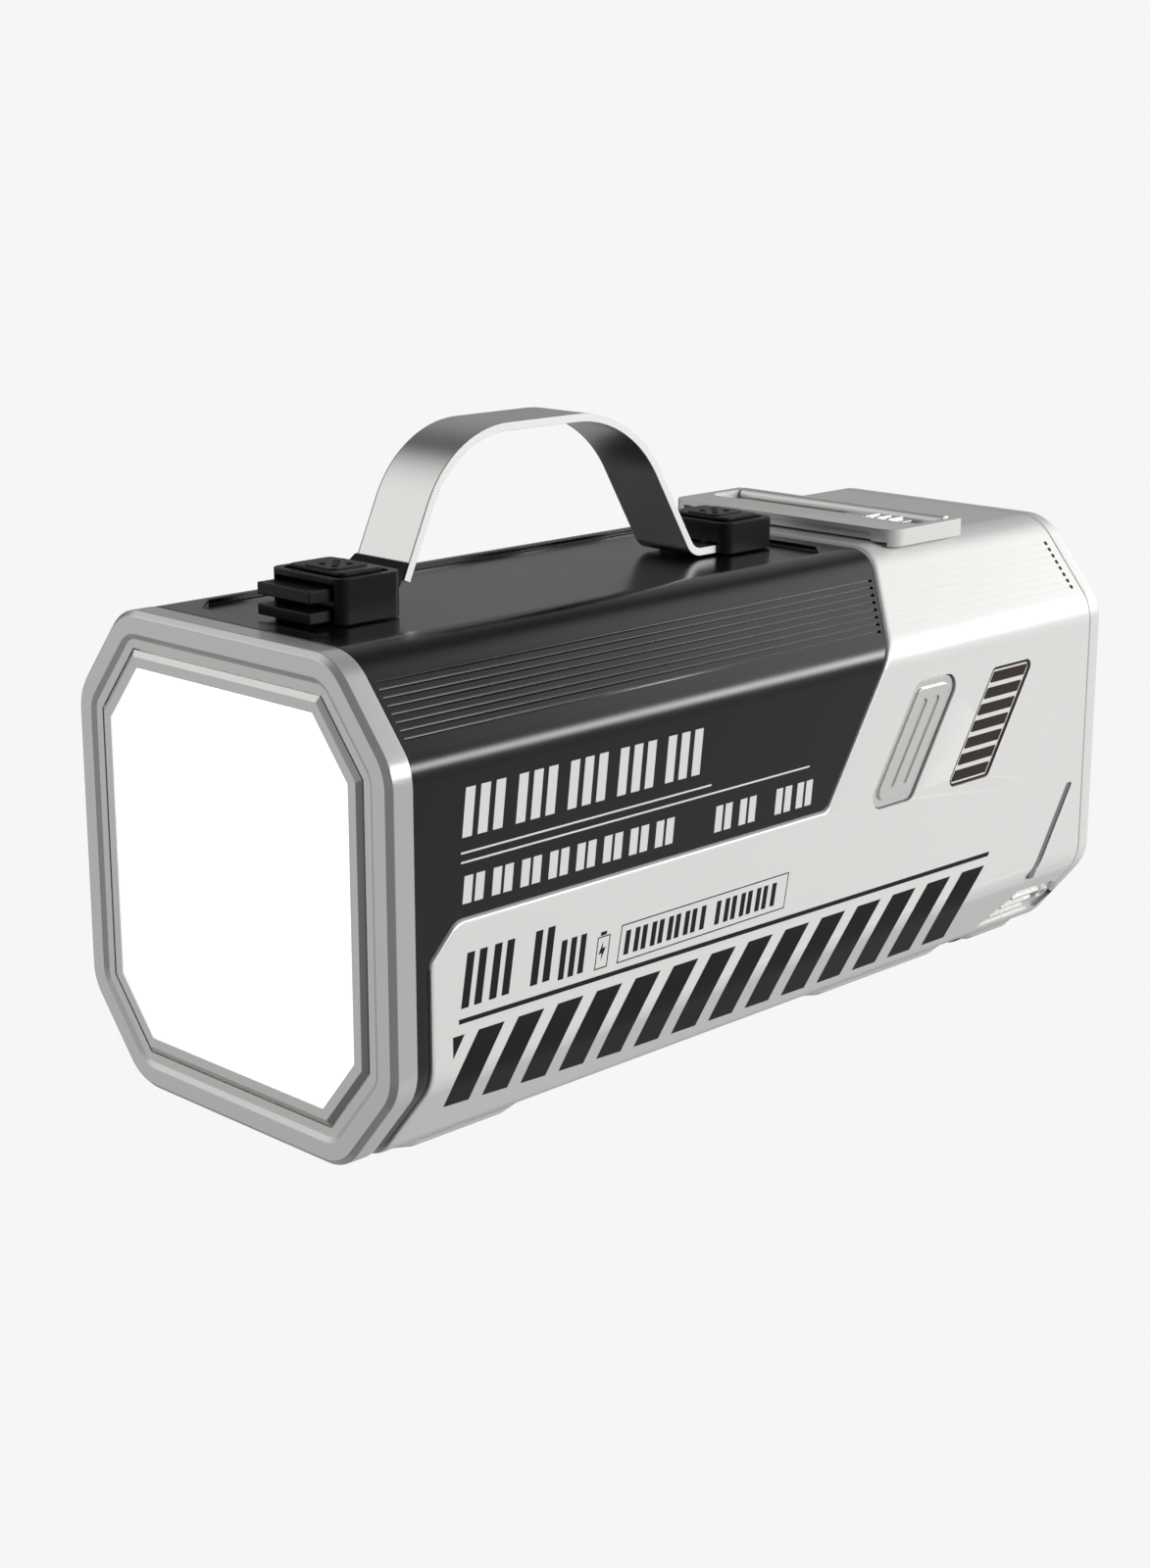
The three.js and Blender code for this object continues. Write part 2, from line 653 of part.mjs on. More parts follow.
/** Cap pad with a cross of small studs on a raised square. */
function postCap(y0, top) {
  const cy = y0 + POST.length / 2;
  const half = POST.halfWidth - POST.rim - GAP;
  const reach = POST.length / 2 - POST.rim - GAP;
  const margin = 1;
  const studStep = 1.5;
  const base = fillet(rectangle(-half, half, cy - reach, cy + reach), 1.4);
  const square = fillet(
    rectangle(-half + margin, half - margin, cy - reach + margin, cy + reach - margin),
    1.0,
  );
  const studs = [[0, 0], [1, 1], [-1, 1], [1, -1], [-1, -1]].map(([x, y]) =>
    cylinderZ(0.5, top + 0.45, top + 0.95, x * studStep, cy + y * studStep, 10));
  return joined(prismZ(base, top - 0.2, top + 0.1), prismZ(square, top, top + 0.6), ...studs);
}

const frontWay = () => box(
  -POST.wayHalfWidth, POST.wayHalfWidth,
  POST.frontY - 1, POST.frontY + POST.length + 1, TAB.lower[0] - GAP, 51.3,
);
const rearWay = () => box(
  -STRAP.halfWidth - GAP, STRAP.halfWidth + GAP,
  POST.rearY - 1, POST.rearY + 9, PANEL_Z, 46.6,
);
const rearPinHole = () => cylinderZ(PIN.hole, 45, 49, 0, PIN.y, 16);

/** Thumb tab with three grip grooves across its top. */
function releaseTab([bottom, top]) {
  const { halfWidth, front, rear, grip } = TAB;
  const reach = halfWidth - 1;
  const blade = box(-halfWidth, halfWidth, front, rear, bottom, top);
  const grooves = [0, 1, 2].map((k) => {
    const y = front + grip.start + k * grip.pitch;
    return box(-reach, reach, y, y + grip.width, top - grip.depth, top + 1);
  });
  return cut(blade, ...grooves);
}

/** Side view of the strap band, thickened by grow on both faces. */
function strapOutline(grow = 0) {
  const corners = [
    vec(36.4, 49.6),
    vec(48.0, STRAP.crest),
    vec(93.8, STRAP.crest),
    vec(111.5, STRAP.tailZ),
    vec(126.0, STRAP.tailZ),
  ];
  const spine = fillet(corners, [0, 21, 26, 4, 0], 9, false);
  const half = STRAP.thickness / 2 + grow;
  const offset = (sign) => spine.map((p, i) => {
    const before = spine[Math.max(i - 1, 0)];
    const after = spine[Math.min(i + 1, spine.length - 1)];
    const along = after.clone().sub(before).normalize();
    return vec(p.x - along.y * half * sign, p.y + along.x * half * sign);
  });
  return [...offset(-1), ...offset(1).reverse()];
}

/** The plug on the strap's front end: a tongue inside the post and a collar in front of the strap. */
function strapClip() {
  const { tongueHalf, collarHalf, front, rear, bottom, top } = CLIP;
  const collarFront = POST.frontY + POST.length + GAP;
  const tongue = box(-tongueHalf, tongueHalf, front, rear, 47.5, 50.6);
  const collar = prismX([
    vec(collarFront, bottom),
    vec(34.87, bottom),
    vec(36.82, top),
    vec(collarFront, top),
  ], -collarHalf, collarHalf);
  const strapSeat = prismX(strapOutline(GAP), -STRAP.halfWidth - GAP, STRAP.halfWidth + GAP);
  return cut(joined(tongue, collar), strapSeat);
}

function handleStrap() {
  const band = prismX(strapOutline(), -STRAP.halfWidth, STRAP.halfWidth);
  return cut(band, cylinderZ(PIN.hole, 43, 49, 0, PIN.y, 16));
}

const strapPin = () => cylinderZ(PIN.radius, 44.5, 48.7, 0, PIN.y, 16);

place('front_post', post(POST.frontY, POST.top, frontWay()), plastic());
place('rear_post', post(POST.rearY, POST.rearTop, rearWay(), rearPinHole()), plastic());
place('front_post_cap', postCap(POST.frontY, POST.top), plastic());
place('rear_post_cap', postCap(POST.rearY, POST.rearTop), plastic());
place('handle_strap', handleStrap(), steel());
place('strap_clip', strapClip(), plastic());
place('strap_pin', strapPin(), steel());
place('release_tab_upper', releaseTab(TAB.upper), plastic());
place('release_tab_lower', releaseTab(TAB.lower), plastic());

// ---------------------------------------------------------------- lid
/** Flip-up lid: thick front rail with a finger notch, two cheeks, a sunk floor, journals for the rod. */
function flipLid() {
  const { halfWidth, front, rear, top, bottom, cheekBottom, corner } = LID;
  const plan = fillet([
    vec(-halfWidth, rear), vec(-halfWidth, front), vec(halfWidth, front), vec(halfWidth, rear),
  ], [0, corner, corner, 0], 5);
  const underHalf = TRAY.halfWidth + 0.4;
  const trayPlan = rectangle(-TRAY.halfWidth, TRAY.halfWidth, TRAY.front, rear + 5);
  const heel = [vec(164.5, 44), vec(168.5, 44), vec(168.5, 46.6)];
  return cut(
    prismZ(plan, cheekBottom, top),
    box(-underHalf, underHalf, front - 1, rear + 1, cheekBottom - 1, bottom),
    prismZ(fillet(trayPlan, TRAY.corner), TRAY.floor, BEYOND),
    box(-TRAY.halfWidth, TRAY.halfWidth, TRAY.rear, rear + 1, cheekBottom - 1, BEYOND),
    box(NOTCH.left, NOTCH.right, front - 1, front + 7, cheekBottom - 1, top - NOTCH.lip),
    cylinderX(ROD.journal + GAP, -BEYOND, BEYOND, ROD.y, ROD.z, 16),
    prismX(heel, -BEYOND, BEYOND),
  );
}

function hingeRod() {
  const shaft = cylinderX(ROD.radius, -ROD.halfLength, ROD.halfLength, ROD.y, ROD.z);
  const journals = cylinderX(ROD.journal, -LID.halfWidth, LID.halfWidth, ROD.y, ROD.z, 12);
  return joined(shaft, journals);
}

/** Thumb latch in the tray: an arrow-shaped slide with three ribs. */
function lidLatch() {
  const { tip, neck, end, centreY, half, ribs, ribWidth } = LATCH;
  const outline = [
    vec(tip, centreY),
    vec(neck, centreY - half),
    vec(end, centreY - half),
    vec(end, centreY + half),
    vec(neck, centreY + half),
  ];
  const slide = prismZ(outline, TRAY.floor + GAP, TRAY.floor + 0.9);
  const ridges = ribs.map((x) => box(
    x, x + ribWidth, centreY - half, centreY + half, TRAY.floor + 0.5, LID.top - 0.1,
  ));
  return joined(slide, ...ridges);
}

place('flip_lid', flipLid(), silver());
place('hinge_rod', hingeRod(), steel());
place('lid_latch', lidLatch(), silver());

// ---------------------------------------------------------------- sockets under the lid
/** Metal socket, open upward, with its contact tongue. */
function socket({ x, halfWidth, halfDepth, depth, tongue }) {
  const wall = 0.35;
  const top = BAY.faceZ - 0.4;
  const floor = top - depth;
  const bladeHalf = halfWidth - 1.2;
  const shell = box(x - halfWidth, x + halfWidth, SOCKET_Y - halfDepth, SOCKET_Y + halfDepth, floor, top);
  const hollow = box(
    x - halfWidth + wall, x + halfWidth - wall,
    SOCKET_Y - halfDepth + wall, SOCKET_Y + halfDepth - wall, floor + 1, top + 1,
  );
  const blade = box(x - bladeHalf, x + bladeHalf, SOCKET_Y - tongue, SOCKET_Y + tongue, floor, top - 1);
  return joined(cut(shell, hollow), blade);
}

function portFrame() {
  const half = BAY.halfWidth - GAP;
  const [y0, y1] = [BAY.front + GAP, BAY.rear - GAP];
  const [low, high] = [BAY.faceZ - 2.6, BAY.faceZ];
  const holes = SOCKETS.map(({ x, halfWidth, halfDepth }) => {
    const [wide, deep] = [halfWidth + GAP, halfDepth + GAP];
    return box(x - wide, x + wide, SOCKET_Y - deep, SOCKET_Y + deep, low - 1, high + 1);
  });
  return cut(box(-half, half, y0, y1, low, high), ...holes);
}

const portBoard = () => box(-26, 26, 146, 168, 29.0, 30.6);

place('port_frame', portFrame(), plastic());
SOCKETS.forEach((entry) => place(entry.name, socket(entry), nickel()));
place('port_board', portBoard(), board());

// ---------------------------------------------------------------- power key and charge meter
/** The lip behind the shell that keeps an insert from coming out. */
const flangeOf = (insert) => prismX(
  leaningOutline(insert, -FLANGE.reach, insert.corner + FLANGE.reach), FLANGE.back, FLANGE.front,
);

/** Leaning key with a rim and two long grooves. Its flange behind the shell keeps it in. */
function powerKey() {
  const face = HALF_WIDTH - 0.1;
  const rim = 1.2;
  const groove = { shift: 2.15, width: 1.5, height: 16.5, corner: 0.5 };
  const plate = prismX(leaningOutline(BUTTON, 0, BUTTON.corner), face - 1.8, face);
  const dish = prismX(leaningOutline(BUTTON, rim, BUTTON.corner - rim), face - 0.5, BEYOND);
  const grooves = [-groove.shift, groove.shift].map((shift) => {
    const strip = { ...groove, centreY: BUTTON.centreY + shift, centreZ: BUTTON.centreZ };
    return prismX(leaningOutline(strip, 0, groove.corner), face - 1.0, BEYOND);
  });
  return cut(joined(plate, flangeOf(BUTTON)), dish, ...grooves);
}

/** Switch board behind the key, with the switch's block and plunger. */
function keySwitch() {
  const [y, z] = [BUTTON.centreY, BUTTON.centreZ];
  return joined(
    box(33.0, 34.4, y - 9, y + 9, z - 10, z + 10),
    box(34.0, 37.4, y - 3, y + 3, z - 3, z + 3),
    cylinderX(1.5, 37, 39.8, y, z, 16),
  );
}

/** Window of the charge meter: a backing plate with one raised bar per charge step. */
function meterWindow() {
  const face = HALF_WIDTH - 0.15;
  const pitch = (METER.height - 2.2) / METER.bars;
  const bars = [];
  for (let k = 0; k < METER.bars; k += 1) {
    const rise = (k - (METER.bars - 1) / 2) * pitch;
    const bar = {
      centreY: METER.centreY + rise * SLANT,
      centreZ: METER.centreZ + rise,
      width: 11.2,
      height: pitch - 0.9,
    };
    bars.push(prismX(leaningOutline(bar), face - 0.6, face));
  }
  const backing = prismX(leaningOutline(METER, 0, METER.corner), face - 2.0, face - 0.3);
  return joined(backing, flangeOf(METER), ...bars);
}

place('power_key', powerKey(), silver());
place('key_switch', keySwitch(), board());
place('charge_meter', meterWindow(), plastic());

// ---------------------------------------------------------------- battery and electronics
/** Plastic rib across the body with a hole for each cell of a bank. */
function cellHolder(y0) {
  const y1 = y0 + HOLDER.thickness;
  const outline = fillet([
    vec(-34, -41), vec(34, -41), vec(34, -18), vec(23, 2.5), vec(-23, 2.5), vec(-34, -18),
  ], 4);
  const within = prismY(section(SLEEVE_INNER_INSET + 0.5, SHELL_HALF_HEIGHT), y0 - 1, y1 + 1);
  const holes = cellSpots.map(([x, z]) => cylinderY(CELL.radius + GAP, y0 - 1, y1 + 1, x, z, 24));
  return cut(common(prismY(outline, y0, y1), within), ...holes);
}

function busbar(y) {
  const outline = [
    vec(-28, -33), vec(28, -33), vec(28, -24), vec(15, -5), vec(-15, -5), vec(-28, -24),
  ];
  return prismY(outline, y, y + 0.4);
}

/** Long board above the cells with its four tallest parts. */
function mainBoard() {
  const plate = { bottom: 8.0, top: 9.6 };
  const seat = plate.top - 0.2;
  return joined(
    box(-27, 27, 34, 140, plate.bottom, plate.top),
    box(-20, -8, 44, 56, seat, 15.0),
    box(4, 16, 60, 74, seat, 16.0),
    box(-14, -2, 90, 98, seat, 12.5),
    box(6, 20, 104, 122, seat, 14.0),
  );
}

[0, 1].forEach((bank) => {
  const y0 = CELL.frontY + bank * BANK_STEP;
  cellSpots.forEach(([x, z], i) => {
    const cell = cylinderY(CELL.radius, y0, y0 + CELL.length, x, z, 22);
    place(`battery_cell_${bank * cellSpots.length + i + 1}`, cell, wrap());
  });
});
HOLDER.offsets.forEach((offset, i) => {
  place(`cell_holder_${i + 1}`, cellHolder(CELL.frontY + offset), frameWhite());
});
place('busbar_front', busbar(CELL.frontY - 1), nickel());
place('busbar_middle', busbar(CELL.frontY + CELL.length + 1.3), nickel());
place('busbar_rear', busbar(CELL.frontY + BANK_STEP + CELL.length + 0.6), nickel());
place('main_board', mainBoard(), board());

const root = new THREE.Group();
root.add(body);
export default root;
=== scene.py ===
"""Looks of the power station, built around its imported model.

Lengths in the modelling helpers are millimetres in the body frame: x across, y from the lamp face
to the back, z up from half height. ORIGIN turns them into the frame's metres.
"""
import math

import bmesh
import bpy
import numpy as np
from mathutils import Matrix, Vector


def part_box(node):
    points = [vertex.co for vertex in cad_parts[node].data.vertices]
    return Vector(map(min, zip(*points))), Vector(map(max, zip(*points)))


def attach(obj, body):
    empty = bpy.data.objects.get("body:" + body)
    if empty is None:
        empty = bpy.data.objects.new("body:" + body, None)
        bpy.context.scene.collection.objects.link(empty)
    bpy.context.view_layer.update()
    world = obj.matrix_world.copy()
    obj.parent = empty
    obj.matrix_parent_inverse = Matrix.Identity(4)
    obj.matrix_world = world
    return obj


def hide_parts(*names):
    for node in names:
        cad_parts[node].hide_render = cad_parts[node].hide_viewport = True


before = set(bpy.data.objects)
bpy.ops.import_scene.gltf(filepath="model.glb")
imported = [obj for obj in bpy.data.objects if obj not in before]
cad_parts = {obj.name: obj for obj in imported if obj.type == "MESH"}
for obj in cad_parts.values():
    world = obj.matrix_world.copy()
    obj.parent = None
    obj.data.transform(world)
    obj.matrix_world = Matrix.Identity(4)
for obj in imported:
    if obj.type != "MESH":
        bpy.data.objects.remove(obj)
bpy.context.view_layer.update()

# ---------------------------------------------------------------- driving dimensions
MM = 0.001
BODY_LOW, BODY_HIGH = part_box("rear_cover")
BEZEL_LOW, BEZEL_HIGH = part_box("front_bezel")
LENGTH = (BODY_HIGH.y - BEZEL_LOW.y) / MM
HALF_WIDTH = BODY_HIGH.x / MM
SHELL_HALF_HEIGHT = (BODY_HIGH.z - BODY_LOW.z) / 2 / MM
BEZEL_HALF_HEIGHT = (BEZEL_HIGH.z - BEZEL_LOW.z) / 2 / MM
ORIGIN = Vector((0, BEZEL_LOW.y, (BODY_HIGH.z + BODY_LOW.z) / 2))
OUTSIDE = 50.0  # further out than any side, top or bottom face
BEHIND = 230.0  # further back than the rear face

CHAMFER_WIDTH = 14.0
CHAMFER_HEIGHT = 17.0
CORNER_RADIUS = 10.0
SKIN = 0.05
ARC_STEPS = 10

SLANT = 0.646
REAR_SEAM = BODY_LOW.y / MM - ORIGIN.y / MM
SEAM_GAP = 0.3
SHELL_FRONT = 8.5
SHELL_WAIST = -0.3
SHELL_BEND = 110.9
SHELL_WALL = 2.05
SHELL_BEVEL = 0.85
SHELL_SIDE = HALF_WIDTH - SKIN
SLEEVE_INSET = 0.55
SLEEVE_SIDE = SHELL_SIDE - SLEEVE_INSET
SLEEVE_HALF_HEIGHT = 45.6
PANEL_Z = 44.05
STRAP_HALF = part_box("handle_strap")[1].x / MM
BAY_HALF, BAY_FRONT, BAY_REAR = 24.5, 149.5, 162.5
HINGE_Y, HINGE_Z = 165.9, 47.4
INK = 0.02


def node_mm(name):
    """A node's box in body-frame millimetres, as (low, high)."""
    low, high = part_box(name)
    return (low - ORIGIN) / MM, (high - ORIGIN) / MM


# ---------------------------------------------------------------- outlines
def unit(a):
    return a / np.linalg.norm(a)


def fillet(points, radius, steps=ARC_STEPS, closed=True):
    """Rounds the corners of a flat outline. An open outline keeps its two ends."""
    points = [np.array(p, float) for p in points]
    rounded = []
    count = len(points)
    for i, corner in enumerate(points):
        r = radius[i] if isinstance(radius, (list, tuple)) else radius
        if r == 0 or (not closed and i in (0, count - 1)):
            rounded.append(corner)
            continue
        back = unit(points[i - 1] - corner)
        ahead = unit(points[(i + 1) % count] - corner)
        half = math.acos(np.clip(back @ ahead, -1, 1)) / 2
        centre = corner + unit(back + ahead) * r / math.sin(half)
        start = corner + back * r / math.tan(half) - centre
        end = corner + ahead * r / math.tan(half) - centre
        sweep = math.atan2(start[0] * end[1] - start[1] * end[0], start @ end)
        for k in range(steps + 1):
            turn = sweep * k / steps
            c, s = math.cos(turn), math.sin(turn)
            rounded.append(centre + np.array((c * start[0] - s * start[1], s * start[0] + c * start[1])))
    return rounded


CHAMFER_ANGLE = math.atan2(CHAMFER_WIDTH, CHAMFER_HEIGHT)
CHAMFER_NORMAL = np.array((math.cos(CHAMFER_ANGLE), math.sin(CHAMFER_ANGLE)))
CHAMFER_DISTANCE = CHAMFER_NORMAL @ (HALF_WIDTH, BEZEL_HALF_HEIGHT - CHAMFER_HEIGHT)


def section(inset, half_height, radius=None):
    """The eight-sided section as (x, z) points, moved in by inset."""
    side = HALF_WIDTH - SKIN - inset
    top = half_height - inset
    slope = CHAMFER_DISTANCE - SKIN - inset
    side_z = (slope - side * CHAMFER_NORMAL[0]) / CHAMFER_NORMAL[1]
    top_x = (slope - top * CHAMFER_NORMAL[1]) / CHAMFER_NORMAL[0]
    corners = [
        (side, -side_z), (side, side_z), (top_x, top), (-top_x, top),
        (-side, side_z), (-side, -side_z), (-top_x, -top), (top_x, -top),
    ]
    if radius is None:
        radius = CORNER_RADIUS - inset
    return fillet(corners, max(0.25, radius))


def leaning(centre_y, centre_z, width, height, inset=0.0, corner=0.0, steps=ARC_STEPS):
    """A leaning four-sided outline in the side view."""
    half_width = width / 2 - inset * math.hypot(1, SLANT)
    half_height = height / 2 - inset
    corners = [
        (centre_y + side * half_width + level * half_height * SLANT, centre_z + level * half_height)
        for side, level in ((-1, -1), (1, -1), (1, 1), (-1, 1))
    ]
    return fillet(corners, corner, steps) if corner > 0 else corners


def rectangle(a0, a1, b0, b1, corner=0.0):
    corners = [(a0, b0), (a1, b0), (a1, b1), (a0, b1)]
    return fillet(corners, corner) if corner > 0 else corners


# ---------------------------------------------------------------- meshes
def to_frame(point):
    return Vector(point) * MM + ORIGIN


def mesh_object(name, vertices, faces):
    mesh = bpy.data.meshes.new(name)
    mesh.from_pydata([to_frame(v) for v in vertices], [], faces)
    obj = bpy.data.objects.new(name, mesh)
    bpy.context.scene.collection.objects.link(obj)
    face_out(mesh)
    return obj


def face_out(mesh):
    bm = bmesh.new()
    bm.from_mesh(mesh)
    bmesh.ops.recalc_face_normals(bm, faces=bm.faces)
    bm.to_mesh(mesh)
    bm.free()


def loft(name, rings, closed=False):
    """Joins rings of equal point count in order; an open loft gets end faces."""
    count = len(rings[0])
    vertices = [p for ring in rings for p in ring]
    faces = []
    last = len(rings) if closed else len(rings) - 1
    for i in range(last):
        a, b = i * count, (i + 1) % len(rings) * count
        for k in range(count):
            n = (k + 1) % count
            faces.append((a + k, a + n, b + n, b + k))
    if not closed:
        faces.append(tuple(range(count)))
        faces.append(tuple(range((len(rings) - 1) * count, len(rings) * count)))
    return mesh_object(name, vertices, faces)


def lift(axis, outline, level):
    """Flat outline points placed at a level along an axis."""
    place = {
        "x": lambda p: (level, p[0], p[1]),
        "y": lambda p: (p[0], level, p[1]),
        "z": lambda p: (p[0], p[1], level),
    }[axis]
    return [place(p) for p in outline]


def prism(name, axis, outline, low, high):
    """Outline in (y, z), (x, z) or (x, y), pushed along axis x, y or z."""
    return loft(name, [lift(axis, outline, low), lift(axis, outline, high)])


def prisms(name, axis, outlines, low, high):
    """Several separate prisms between the same two levels, as one mesh."""
    vertices, faces = [], []
    for outline in outlines:
        start, count = len(vertices), len(outline)
        vertices += lift(axis, outline, low) + lift(axis, outline, high)
        for k in range(count):
            a, b = start + k, start + (k + 1) % count
            faces.append((a, b, b + count, a + count))
        faces.append(tuple(range(start, start + count)))
        faces.append(tuple(range(start + count, start + 2 * count)))
    return mesh_object(name, vertices, faces)


def section_loft(name, stations, half_height, closed=True):
    """Rings of the body section. Each station is (y, inset, corner radius)."""
    rings = [lift("y", section(inset, half_height, radius), y) for y, inset, radius in stations]
    return loft(name, rings, closed)


def section_tube(name, y0, y1, outer, inner, half_height):
    """Tube of the body section between two insets."""
    return section_loft(name, [
        (y0, outer, None), (y1, outer, None), (y1, inner, None), (y0, inner, None),
    ], half_height)


def box(name, x0, x1, y0, y1, z0, z1):
    return prism(name, "z", rectangle(x0, x1, y0, y1), z0, z1)


def cylinder(name, axis, radius, low, high, a, b, sides=32):
    """Round bar along an axis, its centre at (a, b) in the other two."""
    turns = np.linspace(0, 2 * math.pi, sides, endpoint=False)
    circle = [(a + radius * math.cos(t), b + radius * math.sin(t)) for t in turns]
    return prism(name, axis, circle, low, high)


def bake_modifiers(obj):
    graph = bpy.context.evaluated_depsgraph_get()
    graph.update()
    result = bpy.data.meshes.new_from_object(obj.evaluated_get(graph))
    old = obj.data
    obj.modifiers.clear()
    obj.data = result
    bpy.data.meshes.remove(old)


def removed(objects):
    for obj in objects:
        mesh = obj.data
        bpy.data.objects.remove(obj)
        bpy.data.meshes.remove(mesh)


def boolean(obj, tools, operation):
    for tool in tools:
        step = obj.modifiers.new(operation.lower(), "BOOLEAN")
        step.operation = operation
        step.object = tool
        step.solver = "EXACT"
    bake_modifiers(obj)
    removed(tools)
    return obj


def cut(obj, *tools):
    return boolean(obj, tools, "DIFFERENCE")


def joined(obj, *tools):
    return boolean(obj, tools, "UNION")


def common(obj, *tools):
    return boolean(obj, tools, "INTERSECT")


def merged(objects):
    """Puts separate meshes into the first one, untouched."""
    bm = bmesh.new()
    for obj in objects:
        bm.from_mesh(obj.data)
    bm.to_mesh(objects[0].data)
    bm.free()
    removed(objects[1:])
    return objects[0]


def turned(obj, centre, angle):
    """Takes a mesh made about the body frame's zero, turns it about y and moves it to centre."""
    obj.data.transform(Matrix.Translation(-ORIGIN))
    obj.data.transform(Matrix.Rotation(angle, 4, "Y"))
    obj.data.transform(Matrix.Translation(to_frame(centre)))
    return obj


def turned_box(name, half, centre, angle):
    x, y, z = half
    return turned(box(name, -x, x, -y, y, -z, z), centre, angle)


def turned_disc(name, radius, half_depth, centre, angle):
    return turned(cylinder(name, "z", radius, -half_depth, half_depth, 0, 0, 14), centre, angle)


WELD = 0.002
NORMAL_WEIGHT = 80


def soften(obj, width, segments=3, angle=30):
    """Rounds every edge sharper than angle and shades the flats flat."""
    bm = bmesh.new()
    bm.from_mesh(obj.data)
    bmesh.ops.remove_doubles(bm, verts=bm.verts, dist=WELD * MM)
    bmesh.ops.dissolve_degenerate(bm, dist=WELD / 2 * MM, edges=bm.edges)
    bm.to_mesh(obj.data)
    bm.free()
    step = obj.modifiers.new("bevel", "BEVEL")
    step.width = width * MM
    step.segments = segments
    step.limit_method = "ANGLE"
    step.angle_limit = math.radians(angle)
    step.harden_normals = False
    step.use_clamp_overlap = True
    bake_modifiers(obj)
    return smooth(obj, angle)


def smooth(obj, angle=30):
    """Smooth shading that breaks at every edge sharper than angle."""
    obj.data.polygons.foreach_set("use_smooth", [True] * len(obj.data.polygons))
    obj.data.set_sharp_from_angle(angle=math.radians(angle))
    step = obj.modifiers.new("weighted", "WEIGHTED_NORMAL")
    step.keep_sharp = True
    step.weight = NORMAL_WEIGHT
    return obj


def unshaded(obj):
    """Drops the shading step from a mesh that goes into another one."""
    obj.modifiers.clear()
    return obj


def finished(obj, material, body="base", replaces=()):
    """Gives a piece its material, its body and the nodes it stands for."""
    obj.data.materials.clear()
    obj.data.materials.append(material)
    if replaces:
        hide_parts(*replaces)
    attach(obj, body)
    return obj


# ---------------------------------------------------------------- materials
def node_material(name):
    material = bpy.data.materials.new(name)
    material.use_nodes = True
    tree = material.node_tree
    shader = tree.nodes["Principled BSDF"]
    return material, tree, shader


def link(tree, source, output, target, socket):
    tree.links.new(source.outputs[output], target.inputs[socket])


def noise_at(tree, coords, scale, detail, stretch=(1, 1, 1)):
    """Noise in object coordinates, stretched along an axis where a brush ran."""
    mapping = tree.nodes.new("ShaderNodeMapping")
    mapping.inputs["Scale"].default_value = stretch
    noise = tree.nodes.new("ShaderNodeTexNoise")
    noise.inputs["Scale"].default_value = scale
    noise.inputs["Detail"].default_value = detail
    link(tree, coords, "Object", mapping, "Vector")
    link(tree, mapping, "Vector", noise, "Vector")
    return noise


def remapped(tree, source, output, low, high, start=0.3, end=0.7):
    """Takes a value's range from start to end onto low to high."""
    ramp = tree.nodes.new("ShaderNodeMapRange")
    ramp.inputs["From Min"].default_value = start
    ramp.inputs["From Max"].default_value = end
    ramp.inputs["To Min"].default_value = low
    ramp.inputs["To Max"].default_value = high
    link(tree, source, output, ramp, "Value")
    return ramp


GLOSS_DRIFT = 0.02
WORN_FROM, WORN_TO, WORN_MOST = 0.53, 0.62, 0.5


def surface(name, color, worn, rough, metallic, grain=2600, bump=0.12, depth=0.004,
            stretch=(1, 1, 1), specular=0.5, blotch=0.03, drift_scale=38):
    """A coat, metal or moulding with grain, uneven gloss, faint colour drift and lighter edges."""
    material, tree, shader = node_material(name)
    shader.inputs["Metallic"].default_value = metallic
    shader.inputs["Specular IOR Level"].default_value = specular
    coords = tree.nodes.new("ShaderNodeTexCoord")
    fine = noise_at(tree, coords, grain, 4, stretch)
    broad = noise_at(tree, coords, drift_scale, 2)
    gloss = remapped(tree, broad, "Fac", rough - GLOSS_DRIFT, rough + GLOSS_DRIFT)
    link(tree, gloss, "Result", shader, "Roughness")
    drift = tree.nodes.new("ShaderNodeMix")
    drift.data_type = "RGBA"
    drift.inputs["A"].default_value = (*[c * (1 - blotch) for c in color], 1)
    drift.inputs["B"].default_value = (*[min(1, c * (1 + blotch)) for c in color], 1)
    link(tree, broad, "Fac", drift, "Factor")
    geometry = tree.nodes.new("ShaderNodeNewGeometry")
    edge = remapped(tree, geometry, "Pointiness", 0, WORN_MOST, WORN_FROM, WORN_TO)
    wear = tree.nodes.new("ShaderNodeMix")
    wear.data_type = "RGBA"
    wear.inputs["B"].default_value = (*worn, 1)
    link(tree, drift, "Result", wear, "A")
    link(tree, edge, "Result", wear, "Factor")
    link(tree, wear, "Result", shader, "Base Color")
    relief = tree.nodes.new("ShaderNodeBump")
    relief.inputs["Strength"].default_value = bump
    relief.inputs["Distance"].default_value = depth * MM
    link(tree, fine, "Fac", relief, "Height")
    link(tree, relief, "Normal", shader, "Normal")
    return material


def grey(value):
    """A grey with the least touch of warmth."""
    return (value, value * 0.995, value * 0.975)


COAT = dict(grain=3200, bump=0.2, depth=0.005, blotch=0.01, drift_scale=14)
POLISH = dict(grain=3000, bump=0.1, depth=0.003, blotch=0.01, drift_scale=14)
INKED = dict(grain=2600, bump=0.2, depth=0.003, specular=0.1)

